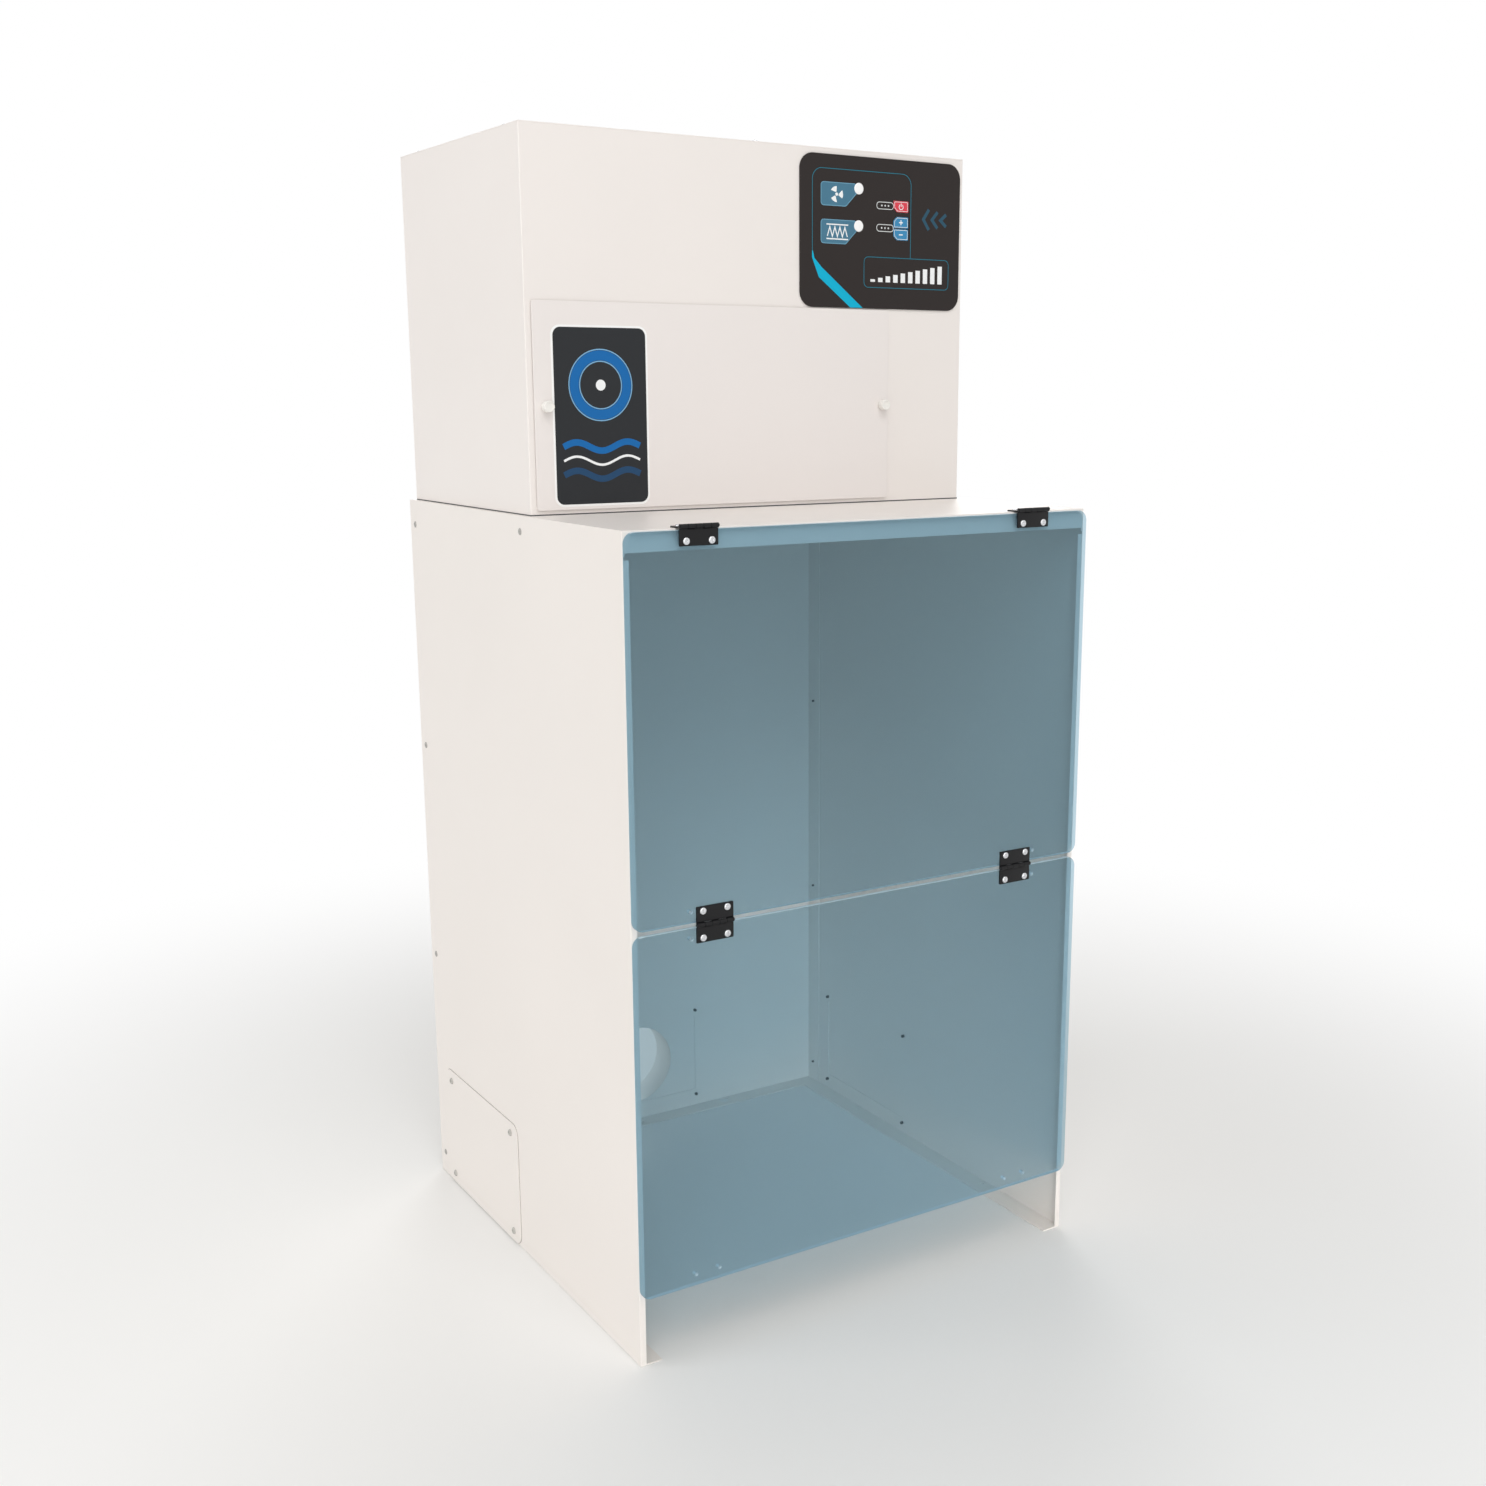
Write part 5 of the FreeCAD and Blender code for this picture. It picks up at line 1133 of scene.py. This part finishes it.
def flat_shape(bm, points, face_y, layer=1, radius=0.0):
    """A printed shape on a surface that faces the front, in millimetres."""
    outline = rounded_polygon(points, radius) if radius else points
    plate(bm, in_metres(outline), -face_y + (layer - 1) * INK, -face_y + layer * INK, FRONT_VIEW)


print("ink thickness:", INK / MM, "mm")

# %% [markdown]
# ## Printed lines
# A closed line is the band between two outlines, one grown and one shrunk by half the line's width. An
# open line gets its two sides from the turn at each corner. At a very sharp corner the sides would run far
# out, so a limit holds them back.


# %% Helpers for lines and arcs
def grown(points, distance):
    """An outline moved outwards by a distance. Its points run anticlockwise."""
    moved = []
    count = len(points)
    for index, corner in enumerate(points):
        here = Vector(corner)
        before = here - Vector(points[index - 1])
        after = Vector(points[(index + 1) % count]) - here
        out_before = Vector((before.y, -before.x)).normalized()
        out_after = Vector((after.y, -after.x)).normalized()
        out = (out_before + out_after).normalized()
        moved.append(tuple(here + out * (distance / max(MITRE_LIMIT, out.dot(out_after)))))
    return moved


def printed_line(bm, points, width, face_y, layer=1, radius=0.0):
    """A printed closed line along an outline, in millimetres."""
    outline = rounded_polygon(points, radius) if radius else points
    outer = in_metres(grown(outline, width / 2))
    inner = in_metres(grown(outline, -width / 2))
    band(bm, outer, inner, -face_y + (layer - 1) * INK, -face_y + layer * INK, FRONT_VIEW)


def open_line(points, width):
    """The outline of a line with two free ends."""
    left = []
    right = []
    for index, corner in enumerate(points):
        here = Vector(corner)
        before = (here - Vector(points[index - 1])).normalized() if index else None
        after = (Vector(points[index + 1]) - here).normalized() if index < len(points) - 1 else None
        run = ((before or after) + (after or before)).normalized()
        side = Vector((-run.y, run.x)) * width / 2 / max(MITRE_LIMIT, run.dot(after or before))
        left.append(tuple(here + side))
        right.append(tuple(here - side))
    return right + left[::-1]


def arc_points(centre, radius, start, end, steps=24):
    """Points on an arc round a centre, from one angle in degrees to another."""
    turns = [math.radians(start + (end - start) * step / steps) for step in range(steps + 1)]
    return [(centre[0] + radius * math.cos(turn), centre[1] + radius * math.sin(turn)) for turn in turns]


def disc(centre, radius):
    """A round spot, as a polygon of 24 sides."""
    return arc_points(centre, radius, 0, 345, 23)


def print_on(name, shapes, code, body, slot):
    """One printed colour: shapes is a function that draws into a bmesh."""
    bm = bmesh.new()
    shapes(bm)
    bmesh.ops.recalc_face_normals(bm, faces=bm.faces)
    ink = coated("ink_" + name, code, INK_GLOSS, 0.3 * MM, 0.003 * MM, shine=0.2)
    return add_piece(name, bm, ink, body, slot)


print("a line two long and one wide:", open_line([(0.0, 0.0), (2.0, 0.0)], 1.0))

# %% [markdown]
# ## Keypad print
# The membrane keypad is charcoal film with a thin teal frame, a bright stripe across its lower left
# corner, two steel-blue tiles beside the lamps and small outlined labels beside the keys. The tiles hold
# plain pictures, a fan and a pleated filter, and the framed box holds a row of bars that grow with the
# fan's speed. All places are measured in millimetres from the keypad's top left corner.

# %% Measure the keypad and lay out its fields
pad_low, pad_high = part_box("keypad_overlay")
KEYPAD_FACE = pad_low.y
PAD_LEFT = pad_low.x / MM
PAD_TOP = pad_high.z / MM


def pad_place(right, down):
    """A place on the keypad, from its top left corner."""
    return PAD_LEFT + right, PAD_TOP - down


def pad_box(left, top, right, low):
    return box_corners(*pad_place(left, low), *pad_place(right, top))


def tile_outline(left, top, right, low, bevel):
    """A tile whose lower right corner is cut off."""
    x0, z1 = pad_place(left, top)
    x1, z0 = pad_place(right, low)
    return [(x0, z0), (x1 - bevel, z0), (x1, z0 + bevel), (x1, z1), (x0, z1)]


TILES = [tile_outline(24.5, 26.4, 67.0, 48.2, 13.0), tile_outline(24.5, 61.7, 67.0, 84.2, 13.0)]
LABELS = [pad_box(91.7, 41.8, 112.2, 48.4), pad_box(91.7, 63.4, 112.2, 70.0)]
BAR_BOX = pad_box(76.5, 95.4, 183.0, 125.0)
print("keypad:", round(pad_high.x / MM - PAD_LEFT, 1), "mm wide, with", len(TILES), "tiles")

# %% [markdown]
# ## Tiles, frames and stripe
# These are the large fields of the keypad. Each function draws the shapes of one ink. What is printed over
# something else names a higher layer, so it lies on top of the ink below it.

# %% Draw the tiles, frames and stripe
FRAME_LINE = 0.55
RIM_LINE = 0.7
FRAME_CORNER = 11.0
TILE_CORNER = 3.0
STRIPE_TOP = 92.0
STRIPE_LOW = 145.4


def draw_tiles(bm):
    for outline in TILES:
        flat_shape(bm, outline, KEYPAD_FACE, radius=TILE_CORNER)


def draw_tile_rims(bm):
    for outline in TILES:
        printed_line(bm, outline, RIM_LINE, KEYPAD_FACE, 2, TILE_CORNER)


def draw_frame(bm):
    """A line over the keys from the bar box to the stripe, and a line round the bar box."""
    left, top = pad_place(14.3, 13.5)
    right = PAD_LEFT + 134.0
    low = BAR_BOX[2][1]
    curve = arc_points((right - FRAME_CORNER, top - FRAME_CORNER), FRAME_CORNER, 0, 90)
    second = arc_points((left + FRAME_CORNER, top - FRAME_CORNER), FRAME_CORNER, 90, 180)
    path = [(right, low)] + curve + second + [(left, PAD_TOP - STRIPE_TOP)]
    flat_shape(bm, open_line(path, FRAME_LINE), KEYPAD_FACE)
    printed_line(bm, BAR_BOX, FRAME_LINE, KEYPAD_FACE, 1, 5.0)


def draw_stripe(bm):
    outer = [(14.0, STRIPE_TOP), (14.0, 98.5), (22.0, 117.0), (60.0, STRIPE_LOW)]
    inner = [(75.0, STRIPE_LOW), (25.5, 107.5), (16.8, 99.0), (15.0, STRIPE_TOP)]
    flat_shape(bm, [pad_place(right, down) for right, down in outer + inner], KEYPAD_FACE)


def draw_labels(bm):
    for outline in LABELS:
        printed_line(bm, outline, RIM_LINE, KEYPAD_FACE, 1, 3.2)


print("the stripe runs from", STRIPE_TOP, "to", STRIPE_LOW, "mm down")

# %% [markdown]
# ## Dots, pictures, bars and arrows
# The small signs are plain shapes: three dots in each label, a fan of three blades, a zigzag of pleats
# between two bars, ten bars that grow, and three arrow heads.

# %% Draw the dots, pictures, bars and arrows
PLEAT_CORNERS = 9
PLEAT_STEP = 3.0
BARS = 10
BAR_STEP = 9.4
BAR_WIDTH = 5.6


def draw_label_dots(bm):
    for outline in LABELS:
        x0, z0 = outline[0]
        x1, z1 = outline[2]
        for share in (0.3, 0.5, 0.7):
            flat_shape(bm, disc((x0 + (x1 - x0) * share, (z0 + z1) / 2), 0.9), KEYPAD_FACE)


def draw_pictures(bm):
    """A three-bladed fan on the upper tile and a pleated filter on the lower one."""
    fan_x, fan_z = pad_place(43.0, 37.3)
    for blade in range(3):
        turn = 90 + 120 * blade
        tip = arc_points((fan_x, fan_z), 7.6, turn, turn + 62, 8)
        root = arc_points((fan_x, fan_z), 2.4, turn + 34, turn + 4, 4)
        flat_shape(bm, tip + root, KEYPAD_FACE, 2)
    flat_shape(bm, disc((fan_x, fan_z), 1.6), KEYPAD_FACE, 2)
    left, top = pad_place(32.0, 66.5)
    pleats = [(left + PLEAT_STEP * step, top - (2.0 if step % 2 else 11.0)) for step in range(PLEAT_CORNERS)]
    flat_shape(bm, open_line(pleats, 1.1), KEYPAD_FACE, 2)
    flat_shape(bm, box_corners(left - 1.0, top - 14.0, left + 25.0, top - 12.8), KEYPAD_FACE, 2)
    flat_shape(bm, box_corners(left - 1.0, top - 0.2, left + 25.0, top + 1.0), KEYPAD_FACE, 2)


def draw_bars(bm):
    """Ten bars on one level, each a little taller than the one before."""
    left, low = BAR_BOX[0]
    for step in range(BARS):
        x = left + 8.0 + step * BAR_STEP
        flat_shape(bm, box_corners(x, low + 5.5, x + BAR_WIDTH, low + 8.0 + step * 1.7), KEYPAD_FACE)


def draw_chevrons(bm):
    """Three arrow heads that point to the left and get smaller to the right."""
    for step in range(3):
        x, z = pad_place(150.0 + step * 11.0, 56.0)
        arrow = [(x + 7.0, z + 10.0 - step * 2.0), (x, z), (x + 7.0, z - 10.0 + step * 2.0)]
        flat_shape(bm, open_line(arrow, 3.4), KEYPAD_FACE)


print("bars:", BARS, "and corners of the pleats:", PLEAT_CORNERS)

# %% [markdown]
# ## The keypad's inks
# Each ink becomes one piece that rides with the cabinet, as the keypad does.

# %% Print the keypad
prints = [
    ("keypad_tiles", draw_tiles, "4A7890"), ("keypad_tile_rims", draw_tile_rims, "6FA3BD"),
    ("keypad_frame", draw_frame, "1F7E96"), ("keypad_stripe", draw_stripe, "08AFD3"),
    ("keypad_labels", draw_labels, "D9DCDC"), ("keypad_label_dots", draw_label_dots, "D9DCDC"),
    ("keypad_pictures", draw_pictures, "F2F4F5"), ("keypad_bars", draw_bars, "F2F4F5"),
    ("keypad_chevrons", draw_chevrons, "2C5266"),
]
for name, shapes, code in prints:
    print_on(name, shapes, code, "cabinet", "overlay_charcoal")
print("keypad prints:", len(prints))

# %% [markdown]
# ## Keys
# Each key is a shallow pillow in the film with a pale line round it and a plain sign on it: a ring and bar
# for power, a plus and a minus for speed. The pillow is the key's own outline from the frame, bevelled
# more than a sheet would be.

# %% Make the keys
KEY_EDGE = 0.32 * MM
KEY_CUT = 4.0
RIM_INSET = 1.0
RIM_CORNER = 0.8


def key_outline(node, inset):
    """The key's outline from its own box: one corner on its left is cut off."""
    low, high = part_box(node)
    left = low.x / MM
    right = high.x / MM
    foot = low.z / MM
    top = high.z / MM
    if node == "speed_up_key":
        points = [(left, foot), (right, foot), (right, top), (left + KEY_CUT, top), (left, top - KEY_CUT)]
    else:
        points = [(left + KEY_CUT, foot), (right, foot), (right, top), (left, top), (left, foot + KEY_CUT)]
    return grown(points, -inset)


def draw_sign(node, bm, face_y):
    """A ring and bar for power, a plus for faster and a minus for slower."""
    low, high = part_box(node)
    x = (low.x + high.x) / 2 / MM
    z = (low.z + high.z) / 2 / MM
    if node == "power_key":
        flat_shape(bm, open_line(arc_points((x, z - 0.3), 2.5, 125, 415), 0.8), face_y)
        flat_shape(bm, box_corners(x - 0.4, z - 0.1, x + 0.4, z + 3.2), face_y)
    else:
        flat_shape(bm, box_corners(x - 2.4, z - 0.55, x + 2.4, z + 0.55), face_y)
    if node == "speed_up_key":
        flat_shape(bm, box_corners(x - 0.55, z + 0.55, x + 0.55, z + 2.4), face_y)
        flat_shape(bm, box_corners(x - 0.55, z - 2.4, x + 0.55, z - 0.55), face_y)


def draw_key_rim(node, bm, face_y):
    printed_line(bm, key_outline(node, RIM_INSET), 0.5, face_y, 1, RIM_CORNER)


def make_key(node):
    """The key as a pillow, with its rim and its sign printed on it."""
    soften(node, KEY_EDGE)
    face_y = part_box(node)[0].y
    body = body_of_node[node]
    slot = slot_of[node]
    print_on(node + "_rim", lambda bm: draw_key_rim(node, bm, face_y), "E8ECEE", body, slot)
    print_on(node + "_sign", lambda bm: draw_sign(node, bm, face_y), "F4F6F7", body, slot)


for node in ("power_key", "speed_up_key", "speed_down_key"):
    make_key(node)
    print(node, "rides on", body_of_node[node])

# %% [markdown]
# ## Lamps
# The two lamps beside the tiles are domed lenses, white when unlit. Each is a profile swept round its
# axis, from a short upright wall over a low dome.

# %% Make the lenses
LENS_RISE = 0.8 * MM
LENS_SPOKES = 48
LENS_DOME = [(1.0, 0.15), (0.96, 0.42), (0.86, 0.65), (0.66, 0.85), (0.4, 0.96), (0.12, 1.0)]


def make_lenses(node):
    bm = bmesh.new()
    for low, high in loose_boxes(node):
        radius = (high.x - low.x) / 2
        face = high.y - low.y
        seat = Vector(((low.x + high.x) / 2, high.y, (low.z + high.z) / 2))
        rings = [round_ring(radius, 0.0, LENS_SPOKES)]
        for reach, share in LENS_DOME:
            rings.append(round_ring(radius * reach, face + LENS_RISE * share, LENS_SPOKES))
        sweep(bm, rings, standing(seat, (0, -1, 0)))
    return add_piece("domed_lenses", bm, finishes["lens_white"], body_of_node[node], slot_of[node], [node])


lenses = make_lenses("indicator_lenses")
print("lens points:", len(lenses.data.vertices))

# %% [markdown]
# ## Door label
# The filter door carries a tall charcoal label with a white border at its left. On it is a plain pattern: a
# ring of blue with a lighter rim, over three wavy lines of air.

# %% Print the door label
DOOR_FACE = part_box("filter_door")[0].y
LABEL_LEFT = -222.0
LABEL_RIGHT = -127.0
LABEL_LOW = 779.0
LABEL_TOP = 940.0
WAVE_MARGIN = 8.0
WAVE_SWING = 4.0
WAVE_STEPS = 32
RING_CENTRE = ((LABEL_LEFT + LABEL_RIGHT) / 2, 888.0)
RING_RADIUS = 27.0
RING_WIDTH = 9.0
RING_STEPS = 59


def wave(height, thickness):
    """A wavy band across the label, with one and a half waves."""
    span = LABEL_RIGHT - LABEL_LEFT - 2 * WAVE_MARGIN
    path = []
    for step in range(WAVE_STEPS + 1):
        share = step / WAVE_STEPS
        rise = WAVE_SWING * math.sin(3 * math.pi * share)
        path.append((LABEL_LEFT + WAVE_MARGIN + span * share, height + rise))
    return open_line(path, thickness)


def ring_points(radius):
    return arc_points(RING_CENTRE, radius, 0, 354, RING_STEPS)


def draw_label_border(bm):
    ground = box_corners(LABEL_LEFT, LABEL_LOW, LABEL_RIGHT, LABEL_TOP)
    flat_shape(bm, grown(ground, 2.0), DOOR_FACE, 1, 9.0)


def draw_label_ground(bm):
    flat_shape(bm, box_corners(LABEL_LEFT, LABEL_LOW, LABEL_RIGHT, LABEL_TOP), DOOR_FACE, 2, 7.5)


def draw_ring(bm):
    printed_line(bm, ring_points(RING_RADIUS), RING_WIDTH, DOOR_FACE, 3)
    flat_shape(bm, wave(832.0, 6.0), DOOR_FACE, 3)


def draw_ring_rims(bm):
    for share in (0.8, 1.2):
        printed_line(bm, ring_points(RING_RADIUS * share), 1.0, DOOR_FACE, 3)


def draw_pale_wave(bm):
    flat_shape(bm, wave(819.0, 2.2), DOOR_FACE, 3)
    flat_shape(bm, arc_points(RING_CENTRE, 5.0, 0, 350, 35), DOOR_FACE, 3)


def draw_dim_wave(bm):
    flat_shape(bm, wave(806.0, 6.0), DOOR_FACE, 3)


label_prints = [
    ("label_border", draw_label_border, "F7F7F6"), ("label_ground", draw_label_ground, "2A2C2F"),
    ("label_ring", draw_ring, "1868AC"), ("label_ring_rims", draw_ring_rims, "7DB1D6"),
    ("label_pale_wave", draw_pale_wave, "F2F4F5"), ("label_dim_wave", draw_dim_wave, "24476A"),
]
for name, shapes, code in label_prints:
    print_on(name, shapes, code, "filter_door", "door_paint")
print("door label prints:", len(label_prints))
